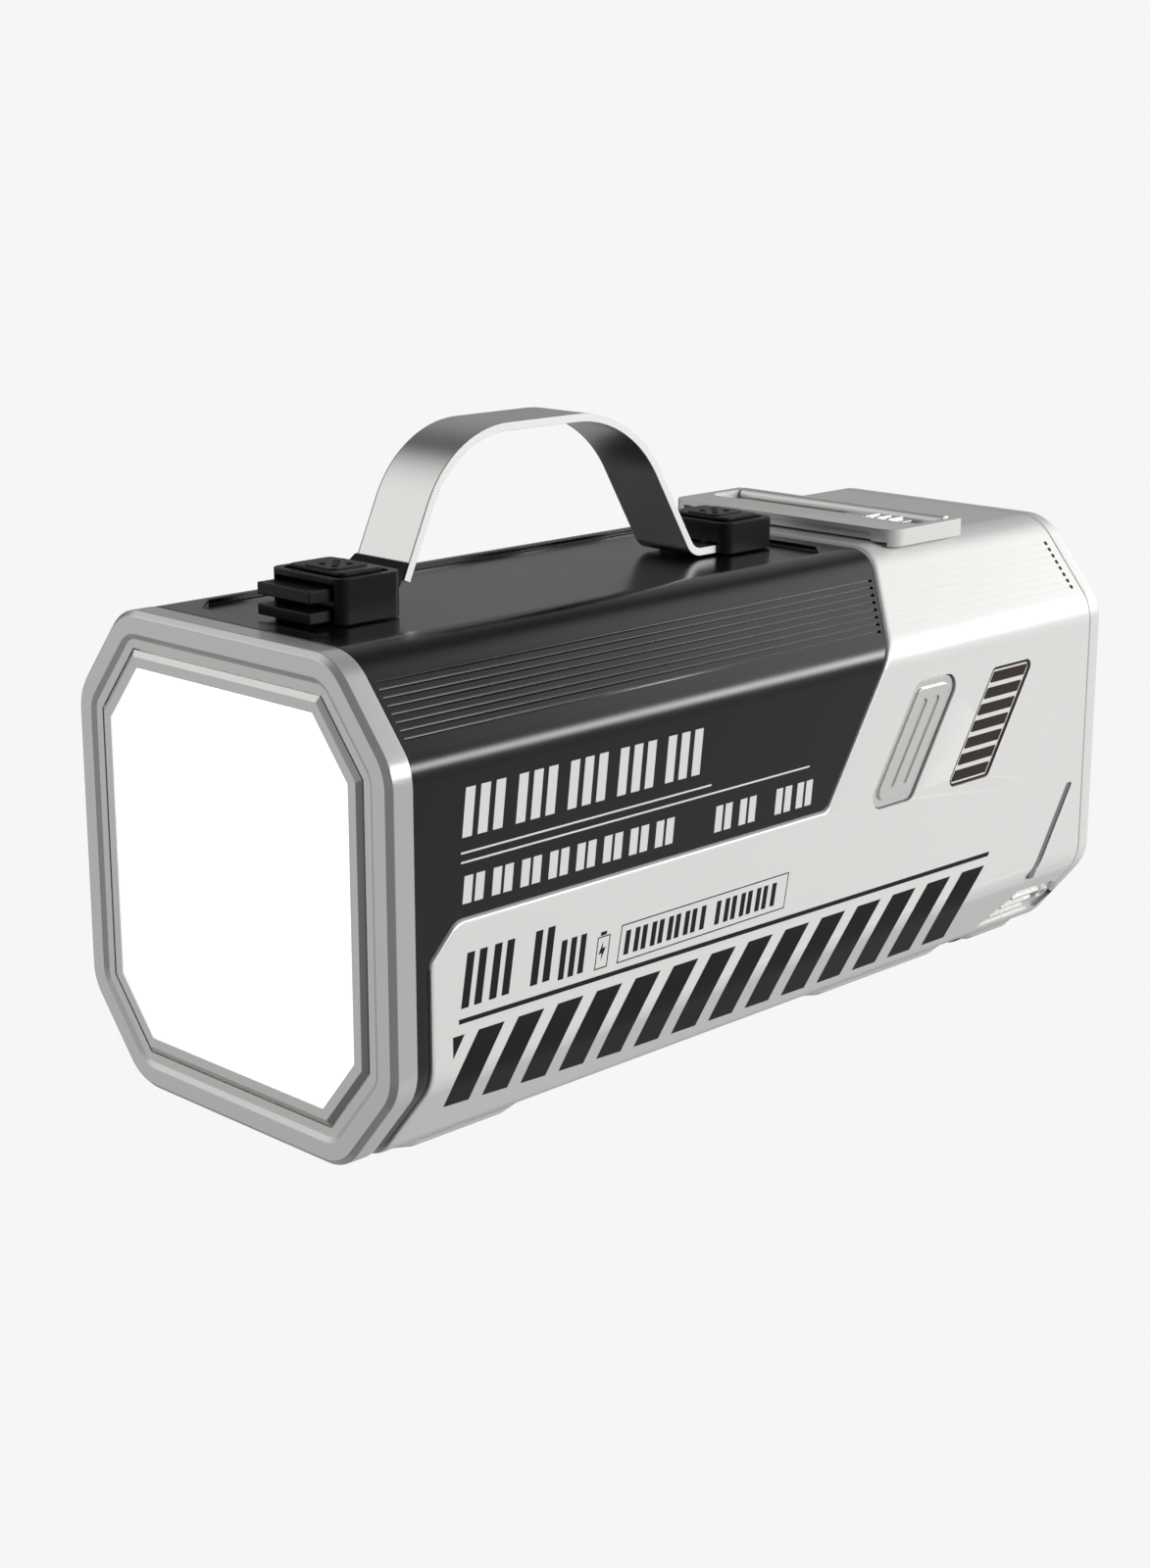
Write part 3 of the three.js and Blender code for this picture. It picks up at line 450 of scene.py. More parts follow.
SILVER = surface("silver_coat", grey(0.66), grey(0.80), 0.30, 0.5, **COAT)
BEZEL = surface("bezel_coat", grey(0.72), grey(0.80), 0.25, 0.8, **COAT)
KEY = surface("key_coat", grey(0.77), grey(0.86), 0.24, 0.75, **COAT)
BLACK = surface("black_coat", grey(0.003), grey(0.008), 0.19, 0.0, grain=2800, bump=0.15, depth=0.004,
                specular=0.9)
PLASTIC = surface("black_plastic", grey(0.005), grey(0.014), 0.33, 0.0, grain=2200, bump=0.4, depth=0.008,
                  specular=0.2)
STRAP = surface("strap_band", grey(0.70), grey(0.76), 0.27, 0.97, **POLISH)
STRAP_EDGE = surface("strap_edge", grey(0.55), grey(0.62), 0.4, 0.2, **POLISH)
# Mid grey for the side groove's floor: painted shade for the recessed groove.
GROOVE_PAINTED_SHADE = surface("groove_painted_shade", grey(0.14), grey(0.2), 0.4, 0.3, **POLISH)
ROD = surface("rod_metal", grey(0.85), grey(0.9), 0.35, 0.6, grain=2500, bump=0.1, depth=0.003,
              stretch=(0.1, 2, 2), blotch=0.01, drift_scale=14)
SCREW = surface("screw_metal", grey(0.34), grey(0.5), 0.32, 1.0, grain=2400, bump=0.3, depth=0.006)
RUBBER = surface("foot_rubber", grey(0.02), grey(0.03), 0.75, 0.0, grain=1400, bump=0.7, depth=0.03)
METER = surface("meter_window", (0.022, 0.016, 0.016), (0.03, 0.022, 0.022), 0.3, 0.0, grain=1200, bump=0.05,
                depth=0.003, specular=0.15)
PRINT_DARK = surface("print_dark", grey(0.008), grey(0.012), 0.5, 0.0, **INKED)
PRINT_LIGHT = surface("print_light", grey(0.37), grey(0.40), 0.5, 0.0, **INKED)
LINE_GREY = surface("line_grey", grey(0.5), grey(0.55), 0.4, 0.2, grain=2600, bump=0.1, depth=0.003)
BOARD = surface("circuit_board", (0.012, 0.085, 0.04), (0.05, 0.16, 0.09), 0.4, 0.0, grain=700, bump=0.5,
                depth=0.03)
WRAP = surface("cell_wrap", (0.02, 0.12, 0.28), (0.05, 0.2, 0.4), 0.35, 0.0, grain=600, bump=0.2, depth=0.01)
NICKEL = surface("inner_metal", grey(0.6), grey(0.75), 0.28, 1.0, grain=1800, bump=0.2, depth=0.005)
WHITE = surface("inner_plastic", grey(0.78), grey(0.85), 0.45, 0.0, grain=900, bump=0.3, depth=0.01)


def lamp_material():
    """Opal panel, evenly lit, its glow faintly clouded at random."""
    material, tree, shader = node_material("diffuser_glow")
    shader.inputs["Base Color"].default_value = (0.95, 0.95, 0.95, 1)
    shader.inputs["Roughness"].default_value = 0.45
    shader.inputs["Emission Strength"].default_value = 0.85
    coords = tree.nodes.new("ShaderNodeTexCoord")
    cloud = noise_at(tree, coords, 60, 2)
    tint = tree.nodes.new("ShaderNodeMix")
    tint.data_type = "RGBA"
    tint.inputs["A"].default_value = (0.97, 0.97, 0.97, 1)
    tint.inputs["B"].default_value = (1, 1, 1, 1)
    link(tree, cloud, "Fac", tint, "Factor")
    link(tree, tint, "Result", shader, "Emission Color")
    grain = noise_at(tree, coords, 2400, 2)
    relief = tree.nodes.new("ShaderNodeBump")
    relief.inputs["Strength"].default_value = 0.15
    relief.inputs["Distance"].default_value = 0.005 * MM
    link(tree, grain, "Fac", relief, "Height")
    link(tree, relief, "Normal", shader, "Normal")
    return material


GLOW = lamp_material()


# ---------------------------------------------------------------- camera, floor and light
CAMERA_LENS = 59.34
CAMERA_RIGHT = (0.7084, 0.7058, 0)
CAMERA_BACK = (0.6816, -0.6841, 0.2597)
CAMERA_PLACE = (0.34594, -0.36241, 0.17996)


def add_camera():
    """Three-quarter view from the lamp end and the key's side, slightly from above."""
    camera = bpy.data.cameras.new("camera")
    camera.lens = CAMERA_LENS
    camera.sensor_width = 36
    camera.clip_start = 0.01
    obj = bpy.data.objects.new("camera", camera)
    right = Vector(CAMERA_RIGHT)
    back = Vector(CAMERA_BACK).normalized()
    up = back.cross(right)
    turn = Matrix((right, up, back)).transposed().to_4x4()
    obj.matrix_world = Matrix.Translation(Vector(CAMERA_PLACE)) @ turn
    bpy.context.scene.collection.objects.link(obj)
    bpy.context.scene.camera = obj


PALE = 0.922
FLOOR_REACH = 4.0
FLOOR_DROP = 0.0003


def add_floor():
    """A pale seamless floor that meets the background without a line. It lights nothing itself."""
    material = bpy.data.materials.new("floor_pale")
    material.use_nodes = True
    tree = material.node_tree
    tree.nodes.clear()
    output = tree.nodes.new("ShaderNodeOutputMaterial")
    glow = tree.nodes.new("ShaderNodeEmission")
    glow.inputs["Color"].default_value = (PALE, PALE, PALE, 1)
    link(tree, glow, "Emission", output, "Surface")
    mesh = bpy.data.meshes.new("floor")
    corners = [(*corner, 0) for corner in rectangle(-FLOOR_REACH, FLOOR_REACH, -FLOOR_REACH, FLOOR_REACH)]
    mesh.from_pydata(corners, [], [(0, 1, 2, 3)])
    mesh.materials.append(material)
    obj = bpy.data.objects.new("floor", mesh)
    obj.location.z = -FLOOR_DROP
    obj.visible_diffuse = False
    obj.visible_glossy = False
    obj.visible_transmission = False
    obj.visible_shadow = False
    bpy.context.scene.collection.objects.link(obj)


AMBIENT = 0.10
ROUND_GLOWS = [
    # direction, cosine where the glow fades out, strength
    ((0.72, 0.66, -0.22), 0.70, 0.12),
    ((-0.68, -0.70, 0.05), 0.45, 0.55),
    ((-0.68, -0.44, 0.58), 0.84, 0.52),
    ((-0.66, 0.70, 0.27), 0.75, 0.22),
    ((-0.10, 0.60, -0.80), 0.35, 0.32),
    ((0.25, 0.88, 0.40), 0.88, 0.9),
]
STRIP_LEVEL = 0.25
STRIP_HALF_HEIGHT = 0.13
STRIP_STRENGTH = 7.0
STRIP_FACING = (0.66, 0.75, 0)
STRIP_FADE = (0.55, 0.95)


def node_math(tree, operation, a, b):
    """A Math node on two values, each a number or a node's first output."""
    step = tree.nodes.new("ShaderNodeMath")
    step.operation = operation
    for socket, value in zip(step.inputs, (a, b)):
        if isinstance(value, (int, float)):
            socket.default_value = value
        else:
            tree.links.new(value.outputs[0], socket)
    return step


def node_fade(tree, value, low, high, strength):
    """Smooth rise from 0 at low to strength at high."""
    fade = tree.nodes.new("ShaderNodeMapRange")
    fade.interpolation_type = "SMOOTHSTEP"
    fade.inputs["From Min"].default_value = low
    fade.inputs["From Max"].default_value = high
    fade.inputs["To Max"].default_value = strength
    tree.links.new(value.outputs[0], fade.inputs["Value"])
    return fade


def node_facing(tree, coords, direction):
    """Cosine between the looked-at direction and a fixed one."""
    facing = tree.nodes.new("ShaderNodeVectorMath")
    facing.operation = "DOT_PRODUCT"
    facing.inputs[1].default_value = Vector(direction).normalized()
    link(tree, coords, "Generated", facing, 0)
    value = tree.nodes.new("ShaderNodeMath")
    value.operation = "ADD"
    value.inputs[1].default_value = 0
    link(tree, facing, "Value", value, 0)
    return value


def add_world():
    """Pale background, and soft glows and one long strip for the light and the reflections."""
    world = bpy.data.worlds.new("studio")
    world.use_nodes = True
    bpy.context.scene.world = world
    tree = world.node_tree
    background = tree.nodes["Background"]
    coords = tree.nodes.new("ShaderNodeTexCoord")
    total = None
    for direction, fade, strength in ROUND_GLOWS:
        glow = node_fade(tree, node_facing(tree, coords, direction), fade, 1.0, strength)
        total = glow if total is None else node_math(tree, "ADD", total, glow)
    height = node_facing(tree, coords, (0, 0, 1))
    off_level = node_math(tree, "ABSOLUTE", node_math(tree, "SUBTRACT", height, STRIP_LEVEL), 0)
    band = node_fade(tree, off_level, STRIP_HALF_HEIGHT, 0.0, STRIP_STRENGTH)
    side = node_fade(tree, node_facing(tree, coords, STRIP_FACING), *STRIP_FADE, 1.0)
    total = node_math(tree, "ADD", total, node_math(tree, "MULTIPLY", band, side))
    total = node_math(tree, "ADD", total, AMBIENT)
    rays = tree.nodes.new("ShaderNodeLightPath")
    seen = tree.nodes.new("ShaderNodeMix")
    seen.inputs["B"].default_value = PALE
    link(tree, rays, "Is Camera Ray", seen, "Factor")
    tree.links.new(total.outputs[0], seen.inputs["A"])
    link(tree, seen, "Result", background, "Strength")
    background.inputs["Color"].default_value = (1, 1, 1, 1)


def add_light(name, place, aim, size, power):
    lamp = bpy.data.lights.new(name, "AREA")
    lamp.shape = "RECTANGLE"
    lamp.size, lamp.size_y = size
    lamp.energy = power
    obj = bpy.data.objects.new(name, lamp)
    obj.location = place
    obj.rotation_euler = (Vector(aim) - Vector(place)).to_track_quat("-Z", "Y").to_euler()
    obj.visible_glossy = False
    bpy.context.scene.collection.objects.link(obj)


add_camera()
add_floor()
add_world()
add_light("key_light", (1.6, 0.6, 0.55), (0, 0, 0.05), (1.0, 0.8), 52)
bpy.context.scene.view_settings.view_transform = "Standard"
bpy.context.scene.view_settings.look = "None"


# ---------------------------------------------------------------- lamp end
WINDOW_INSET = 10.2
RETAINER_INSET = 7.2


def rounded_step(a, b, c, r):
    """Three ring stations that ease the corner b of a profile between a and c."""
    a, b, c = (np.array(p, float) for p in (a, b, c))
    before = b + unit(a - b) * r
    after = b + unit(c - b) * r
    middle = b * 0.6 + before * 0.2 + after * 0.2
    return [tuple(before), tuple(middle), tuple(after)]


def eased(profile, r):
    """A closed (y, inset) profile with every corner eased."""
    count = len(profile)
    rings = []
    for i in range(count):
        rings += rounded_step(profile[i - 1], profile[i], profile[(i + 1) % count], r)
    return rings


SOFT_INSET, SHARP_INSET = 4.2, 6.0
SHARP_RADIUS = 0.3


def ring_radius(inset):
    """Corner radius of the lamp end's rings: large outside, sharp at the window."""
    if inset < SOFT_INSET:
        return CORNER_RADIUS - inset
    if inset < SHARP_INSET:
        return CORNER_RADIUS - SOFT_INSET - (inset - SOFT_INSET) * 2.6
    return SHARP_RADIUS


def profile_ring(name, profile, r):
    stations = [(y, inset, ring_radius(inset)) for y, inset in eased(profile, r)]
    return smooth(section_loft(name, stations, BEZEL_HALF_HEIGHT), 35)


def front_bezel():
    profile = [
        (5.2, 0), (1.02, 0), (0, 1.02), (0, 4.13), (0.61, 5.24), (0.61, 6.9), (4.9, 6.9),
        (4.9, 9.0), (6.1, 9.0), (6.1, 5.2), (9.0, 5.2), (9.0, 3.3), (5.2, 3.3),
    ]
    ring = profile_ring("front_bezel_fine", profile, 0.12)
    finished(ring, BEZEL, replaces=["front_bezel"])


def lens_retainer():
    profile = [
        (2.6, RETAINER_INSET), (0.66, RETAINER_INSET), (0, 8.3), (0, WINDOW_INSET), (2.6, WINDOW_INSET),
    ]
    ring = profile_ring("lens_retainer_fine", profile, 0.09)
    finished(ring, BEZEL, replaces=["lens_retainer"])


def diffuser():
    """Flanged panel whose front face stands a little back, with an eased rim."""
    profile = [
        (4.6, RETAINER_INSET), (2.9, RETAINER_INSET), (2.9, 10.35),
        (0.34, 10.35), (0.22, 10.4), (0.16, 10.55),
    ]
    stations = [(y, inset, SHARP_RADIUS) for y, inset in profile]
    panel = section_loft("diffuser_fine", stations, BEZEL_HALF_HEIGHT, closed=False)
    finished(smooth(panel, 35), GLOW, replaces=["diffuser_panel"])


front_bezel()
lens_retainer()
diffuser()


# ---------------------------------------------------------------- body shells
def shell_outline(grow=0.0):
    """Side view of what the silver shell covers, grown outward by grow."""
    top = SHELL_HALF_HEIGHT + 3
    waist = SHELL_WAIST + grow
    front = SHELL_FRONT - grow
    bend = SHELL_BEND - grow * math.hypot(1, SLANT) + grow * SLANT
    corners = [
        (front, -OUTSIDE), (front, -6.5), (14.6, waist), (bend, waist),
        (bend + (top - waist) * SLANT, top), (BEHIND, top), (BEHIND, -OUTSIDE),
    ]
    return fillet(corners, [0, 2.5, 4.0, 2.2, 0, 0, 0], 8)


def recess_outline():
    """The sunk top panel, its corners cut off at 45 degrees."""
    half, front, rear, corner = 23.4, 10.0, 135.9, 5.5
    return [
        (half - corner, front), (half, front + corner), (half, rear - corner), (half - corner, rear),
        (corner - half, rear), (-half, rear - corner), (-half, front + corner), (corner - half, front),
    ]


GROOVES = 8
GROOVE_START = 32.4
GROOVE_PITCH = 0.993
GROOVE_SUNK = 0.1
GROOVE_FRONT = 6.9
GROOVE_STOP = 1.5
GROOVE_HALF_WIDTH, GROOVE_HALF_DEPTH = 0.22, 0.3
DIMPLE_RADIUS, DIMPLE_DEPTH = 0.4, 0.45
LINE_START = 1.8
LINE_END = 194.2
LINE_HALF_WIDTH = 0.08
DOT_RADIUS = 0.5


def chamfer_z(x, depth):
    """Height of the upper chamfer at x, at a depth under its skin."""
    return (CHAMFER_DISTANCE - SKIN - depth - x * CHAMFER_NORMAL[0]) / CHAMFER_NORMAL[1]


def chamfer_turn(side):
    """Turn about y that lays a flat piece on the upper chamfer of one side."""
    return side * (math.pi / 2 - CHAMFER_ANGLE)


def groove_point(side, step):
    """Centre (x, z) of an upper chamfer groove on one side, just under the sleeve's skin."""
    x = GROOVE_START + GROOVE_PITCH * step
    return side * x, chamfer_z(x, SLEEVE_INSET + GROOVE_SUNK)


def slanted_end(z):
    """Where the shell's slanted front edge is at height z."""
    return SHELL_BEND + (z - SHELL_WAIST) * SLANT


def groove_cutters():
    """Fine grooves along both upper chamfers of the sleeve, each ending in a round dimple."""
    tools = []
    for side in (-1, 1):
        for step in range(GROOVES):
            x, z = groove_point(side, step)
            rear = slanted_end(z) - GROOVE_STOP
            half = (GROOVE_HALF_WIDTH, (rear - GROOVE_FRONT) / 2, GROOVE_HALF_DEPTH)
            tools.append(turned_box("groove", half, (x, (rear + GROOVE_FRONT) / 2, z), chamfer_turn(side)))
            tools.append(turned_disc("dimple", DIMPLE_RADIUS, DIMPLE_DEPTH, (x, rear, z), chamfer_turn(side)))
    return tools


def shell_lines(side, name):
    """The grooves carried on over the shell as fine printed lines, each ending in a dot."""
    rise = (SLEEVE_INSET + GROOVE_SUNK) * CHAMFER_NORMAL
    lines, dots = [], []
    for step in range(GROOVES):
        x, z = groove_point(side, step)
        x, z = x + side * rise[0], z + rise[1]
        front = slanted_end(z) + LINE_START
        half = (LINE_HALF_WIDTH, (LINE_END - front) / 2, INK)
        lines.append(turned_box("line", half, (x, (LINE_END + front) / 2, z), chamfer_turn(side)))
        dots.append(turned_disc("dot", DOT_RADIUS, INK * 1.5, (x, LINE_END, z), chamfer_turn(side)))
    lines, dots = merged(lines), merged(dots)
    lines.name, dots.name = f"shell_lines_{name}", f"shell_dots_{name}"
    finished(lines, LINE_GREY)
    finished(dots, PRINT_DARK)


def bay_cutter():
    """The socket bay under the lid, through the shell and the liner."""
    return box("bay", -BAY_HALF, BAY_HALF, BAY_FRONT, BAY_REAR, 40, 47)


def body_sleeve():
    """The black tube, and the liner that closes the view into it through every gap."""
    skin = section_tube("body_sleeve_fine", 5.5, 152, SLEEVE_INSET, 1.9, SLEEVE_HALF_HEIGHT)
    cut(skin, prism("covered", "x", shell_outline(0.12), -OUTSIDE, OUTSIDE))
    cut(skin, prism("sunk_panel", "z", recess_outline(), PANEL_Z, OUTSIDE))
    soften(skin, 0.22, 3, 25)
    cut(skin, *groove_cutters())
    finished(smooth(skin), BLACK, replaces=["body_sleeve"])
    liner = section_tube("sleeve_liner", 5.6, 196.8, SHELL_WALL + 0.1, 2.9, SLEEVE_HALF_HEIGHT)
    cut(liner, bay_cutter())
    finished(soften(liner, 0.1, 1), BLACK)


body_sleeve()


KEY_SHAPE = dict(centre_y=137.6, centre_z=8.9, width=14.0, height=23.4)
METER_SHAPE = dict(centre_y=162.8, centre_z=8.4, width=13.7, height=22.6)
SIDE_GROOVE = [(193.6, -9.9), (191.4, -9.9), (179.0, -29.0), (181.2, -29.0)]


def outer_shell():
    """Bevelled where it meets the sleeve, then opened for the key, the meter, the bay and the vents."""
    shell = section_tube("outer_shell_fine", 3.5, 199.5, 0, SHELL_WALL, SHELL_HALF_HEIGHT)
    common(shell, prism("kept", "x", shell_outline(), -OUTSIDE, OUTSIDE))
    soften(shell, SHELL_BEVEL, 2, 35)
    cut(
        shell,
        box("rear_end", -OUTSIDE, OUTSIDE, REAR_SEAM - SEAM_GAP, BEHIND, -OUTSIDE, OUTSIDE),
        prism("key_hole", "x", leaning(**KEY_SHAPE, inset=-0.3, corner=2.7), 35, OUTSIDE),
        prism("meter_hole", "x", leaning(**METER_SHAPE, inset=-0.12, corner=1.4), 35, OUTSIDE),
        bay_cutter(),
    )
    joined(shell, *foot_bosses())
    cut(shell, prism("side_groove", "x", fillet(SIDE_GROOVE, 0.5), HALF_WIDTH - 1.2, OUTSIDE))
    soften(shell, 0.12, 2, 40)
    cut(shell, vent_cutter())
    finished(smooth(shell), SILVER, replaces=["outer_shell"])


# The groove's floor piece carries painted shade, a mid grey standing in for the shade inside the groove.
def side_groove_floor():
    floor = prism("side_groove_floor", "x", fillet(SIDE_GROOVE, 0.5), HALF_WIDTH - 1.3, HALF_WIDTH - 0.42)
    finished(soften(floor, 0.1, 2), GROOVE_PAINTED_SHADE)


FOOT_ZONES = [(9.0, 46.0), (120.0, 172.0), (173.5, 196.5)]
FOOT_SOLE = 46.15
FOOT_TOP = -44.2


def foot_bosses():
    """Low silver pedestals around the foot pads, swelling out of the shell's lower corners."""
    bosses = []
    for y0, y1 in FOOT_ZONES:
        ramp = min(8.0, (y1 - y0) / 4)
        stations = [(y0, 1.3, 7.0), (y0 + ramp, 0.03, 4.5), (y1 - ramp, 0.03, 4.5), (y1, 1.3, 7.0)]
        boss = section_loft("boss", stations, FOOT_SOLE, closed=False)
        cut(boss, box("above", -OUTSIDE, OUTSIDE, 0, LENGTH, FOOT_TOP, OUTSIDE))
        bosses.append(boss)
    return bosses


VENT_OUTLINE = [
    (175.8, -41.8), (180.4, -35.0), (180.9, -32.7), (194.8, -33.5), (197.9, -35.1), (200.2, -37.6),
    (198.0, -41.8),
]
VENT_RADII = [0.6, 1, 1, 1.5, 1.5, 1.5, 1]
VENT_DEPTH = 0.85
RIB_DEPTH, RIB_HALF = 0.55, 0.42
RIBS = [(33.2, 178.5, 190.8), (34.8, 180.4, 191.4), (36.4, 182.2, 192.0)]
RING_X, RING_Y = 35.3, 194.6


def vent_cutter():
    """The shallow pocket on each lower rear corner, as deep as the chamfer's skin allows."""
    pocket = section_tube("vent", 170, 203, -0.6, VENT_DEPTH, SHELL_HALF_HEIGHT)
    return common(pocket, prism("vent_side", "x", fillet(VENT_OUTLINE, VENT_RADII), -OUTSIDE, OUTSIDE))


def vent_ribs(side, name):
    """Three raised ribs along the pocket and a ring at its rear end."""

    def spot(x, y):
        return side * x, y, -chamfer_z(x, RIB_DEPTH)

    turn = chamfer_turn(-side)
    pieces = []
    for x, y0, y1 in RIBS:
        rib = turned_box("rib", (RIB_HALF, (y1 - y0) / 2, RIB_HALF), spot(x, (y0 + y1) / 2), turn)
        pieces.append(unshaded(soften(rib, 0.2)))
    ring = turned_disc("ring", 1.9, RIB_HALF, spot(RING_X, RING_Y), turn)
    cut(ring, turned_disc("ring_hole", 1.1, 2.0, spot(RING_X, RING_Y), turn))
    pieces.append(unshaded(soften(ring, 0.15, 2, 40)))
    ribs = merged(pieces)
    ribs.name = f"vent_ribs_{name}"
    finished(smooth(ribs), SILVER)


REAR_RADIUS = 1.5
REAR_ARC_STEPS = 6
REAR_FIELD_INSET, REAR_FIELD_DEPTH = 6.0, 0.8
REAR_WALL = 2.4
SCREW_X, SCREW_Z = 27, 29


def rear_cover():
    """Cap with a rounded rim, a sunk field and four screw seats."""
    stations = [(REAR_SEAM, 0.2, None), (REAR_SEAM + 0.2, 0, None)]
    for k in range(REAR_ARC_STEPS + 1):
        turn = k / REAR_ARC_STEPS * math.pi / 2
        y = LENGTH - REAR_RADIUS + REAR_RADIUS * math.sin(turn)
        stations.append((y, REAR_RADIUS - REAR_RADIUS * math.cos(turn), None))
    cap = section_loft("rear_cover_fine", stations, SHELL_HALF_HEIGHT, closed=False)
    field = section(REAR_FIELD_INSET, SHELL_HALF_HEIGHT)
    cut(cap, prism("field", "y", field, LENGTH - REAR_FIELD_DEPTH, LENGTH + 1))
    cut(cap, prism("inside", "y", section(REAR_WALL, SHELL_HALF_HEIGHT), REAR_SEAM - 1, LENGTH - REAR_WALL))
    for x in (-SCREW_X, SCREW_X):
        for z in (-SCREW_Z, SCREW_Z):
            cut(cap, cylinder("seat", "y", 3.0, LENGTH - 2.2, LENGTH + 1, x, z))
    soften(cap, 0.15, 2, 35)
    cut(cap, vent_cutter())
    finished(smooth(cap), SILVER, replaces=["rear_cover"])


def rear_screw(name):
    """Round-headed cross screw."""
    low, high = node_mm(name)
    x, z = (low.x + high.x) / 2, (low.z + high.z) / 2
    screw = cylinder(name + "_fine", "y", 2.55, high.y - 1.0, high.y - 0.03, x, z, 40)
    soften(screw, 0.22)
    joined(screw, cylinder("shank", "y", 1.35, low.y + 0.05, high.y - 0.8, x, z, 24))
    slot = (high.y - 0.55, high.y + 1)
    cut(
        screw,
        box("slot", x - 1.5, x + 1.5, *slot, z - 0.3, z + 0.3),
        box("slot", x - 0.3, x + 0.3, *slot, z - 1.5, z + 1.5),
    )
    finished(smooth(screw), SCREW, replaces=[name])


def foot_pad(index):
    low, high = node_mm(f"foot_pad_{index}")
    outline = rectangle(low.x, high.x, low.y, high.y, 3)
    pad = prism(f"foot_pad_fine_{index}", "z", outline, low.z, high.z)
    finished(soften(pad, 0.15, 2), RUBBER, replaces=[f"foot_pad_{index}"])


outer_shell()
side_groove_floor()
rear_cover()
vent_ribs(1, "near")
vent_ribs(-1, "far")
for number in range(1, 5):
    rear_screw(f"rear_screw_{number}")
    foot_pad(number)


# ---------------------------------------------------------------- handle
def rim(low, high, inset, corner):
    """Outline of a node's top, moved in by inset."""
    return rectangle(low.x + inset, high.x - inset, low.y + inset, high.y - inset, corner)


def post(name, slot_half, slot_depth, slot_low, slot_high):
    """Block with a shallow well in its top and a slot for the strap's end, open to the front."""
    low, high = node_mm(name)
    body = prism(name + "_fine", "z", rim(low, high, 0, 2.3), low.z, high.z)
    well = prism("well", "z", rim(low, high, 1.5, 1.5), high.z - 0.55, high.z + 2)
    slot = box("slot", -slot_half, slot_half, low.y - 1, low.y + slot_depth, slot_low, slot_high)
    cut(body, well, slot)
    soften(body, 0.4, 4)
    finished(body, PLASTIC, replaces=[name])


def post_cap(name):
    """Pad with a raised square and five small studs."""
    low, high = node_mm(name)
    cy = (low.y + high.y) / 2
    top = low.z + 0.85
    pad = prism(name + "_fine", "z", rim(low, high, 0.4, 1.4), low.z, top)
    soften(pad, 0.3, 4)
    square = prism("square", "z", rectangle(-4.3, 4.3, cy - 4.3, cy + 4.3, 1.6), top - 0.2, top + 0.25)
    soften(square, 0.12, 2)
    spots = ((0, 0), (1.7, 1.7), (-1.7, 1.7), (1.7, -1.7), (-1.7, -1.7))
    studs = [cylinder("stud", "z", 0.62, top, top + 0.45, x, cy + y, 18) for x, y in spots]
    joined(pad, square, *studs)
    finished(smooth(pad), PLASTIC, replaces=[name])


def release_tab(name, body):
    """Blade with three grip cuts across its top."""
    low, high = node_mm(name)
    blade = box(name + "_fine", low.x, high.x, low.y, high.y, low.z, high.z)
    soften(blade, 0.25)
    cuts = []
    for front in (low.y + 0.9, low.y + 1.9, low.y + 2.9):
        cuts.append(box("grip", low.x + 1.2, high.x - 1.2, front, front + 0.45, high.z - 0.3, high.z + 1))
    cut(blade, *cuts)
    finished(smooth(blade), PLASTIC, body, [name])


STRAP_SPINE = [(36.4, 49.6), (48.0, 74.7), (93.8, 74.7), (111.5, 45.35), (126.0, 45.35)]
STRAP_RADII = [0, 21, 26, 4, 0]
STRAP_HALF_THICKNESS = 0.75
EDGE_DEPTH = 0.35


def strap_outline():
    """Side view of the bent band, set off to both sides of its spine."""
    spine = fillet(STRAP_SPINE, STRAP_RADII, 36, closed=False)
    sides = [[], []]
    for i, p in enumerate(spine):
        along = unit(spine[min(i + 1, len(spine) - 1)] - spine[max(i - 1, 0)])
        for k, off in enumerate((-STRAP_HALF_THICKNESS, STRAP_HALF_THICKNESS)):
            sides[k].append((p[0] - along[1] * off, p[1] + along[0] * off))
    return sides[0] + sides[1][::-1]


def handle_strap():
    """Polished band with its two cut edges left matt."""
    inner = STRAP_HALF - EDGE_DEPTH
    band = prism("handle_strap_fine", "x", strap_outline(), -inner, inner)
    finished(smooth(band, 40), STRAP, replaces=["handle_strap"])
    for name, low, high in (("near", inner, STRAP_HALF), ("far", -STRAP_HALF, -inner)):
        edge = prism(f"handle_strap_edge_{name}", "x", strap_outline(), low, high)
        finished(soften(edge, 0.1, 2, 40), STRAP_EDGE)


COLLAR_HALF = 6.8


def strap_clip():
    """Wedge-shaped collar in front of the strap, with the tongue that plugs into the front post."""
    low, high = node_mm("strap_clip")
    top = high.z - 0.05
    outline = [(33.7, 48.85), (34.95, 48.85), (36.85, top), (36.2, top), (33.7, 51.2)]
    collar = prism("strap_clip_fine", "x", outline, -COLLAR_HALF, COLLAR_HALF)
    joined(collar, box("tongue", 0.05 - COLLAR_HALF, COLLAR_HALF - 0.05, low.y, 34.5, low.z, 50.6))
    finished(soften(collar, 0.25), PLASTIC, replaces=["strap_clip"])


post("front_post", 8.0, BEHIND, 44.6, 51.3)
post("rear_post", STRAP_HALF + 0.3, 9, 44.0, 46.6)
post_cap("front_post_cap")
post_cap("rear_post_cap")
release_tab("release_tab_upper", "tab_upper")
release_tab("release_tab_lower", "tab_lower")
handle_strap()
strap_clip()


# ---------------------------------------------------------------- lid
TRAY_HALF = 27.9
TRAY_FLOOR = 46.9
NOTCH_DEPTH = 1.3


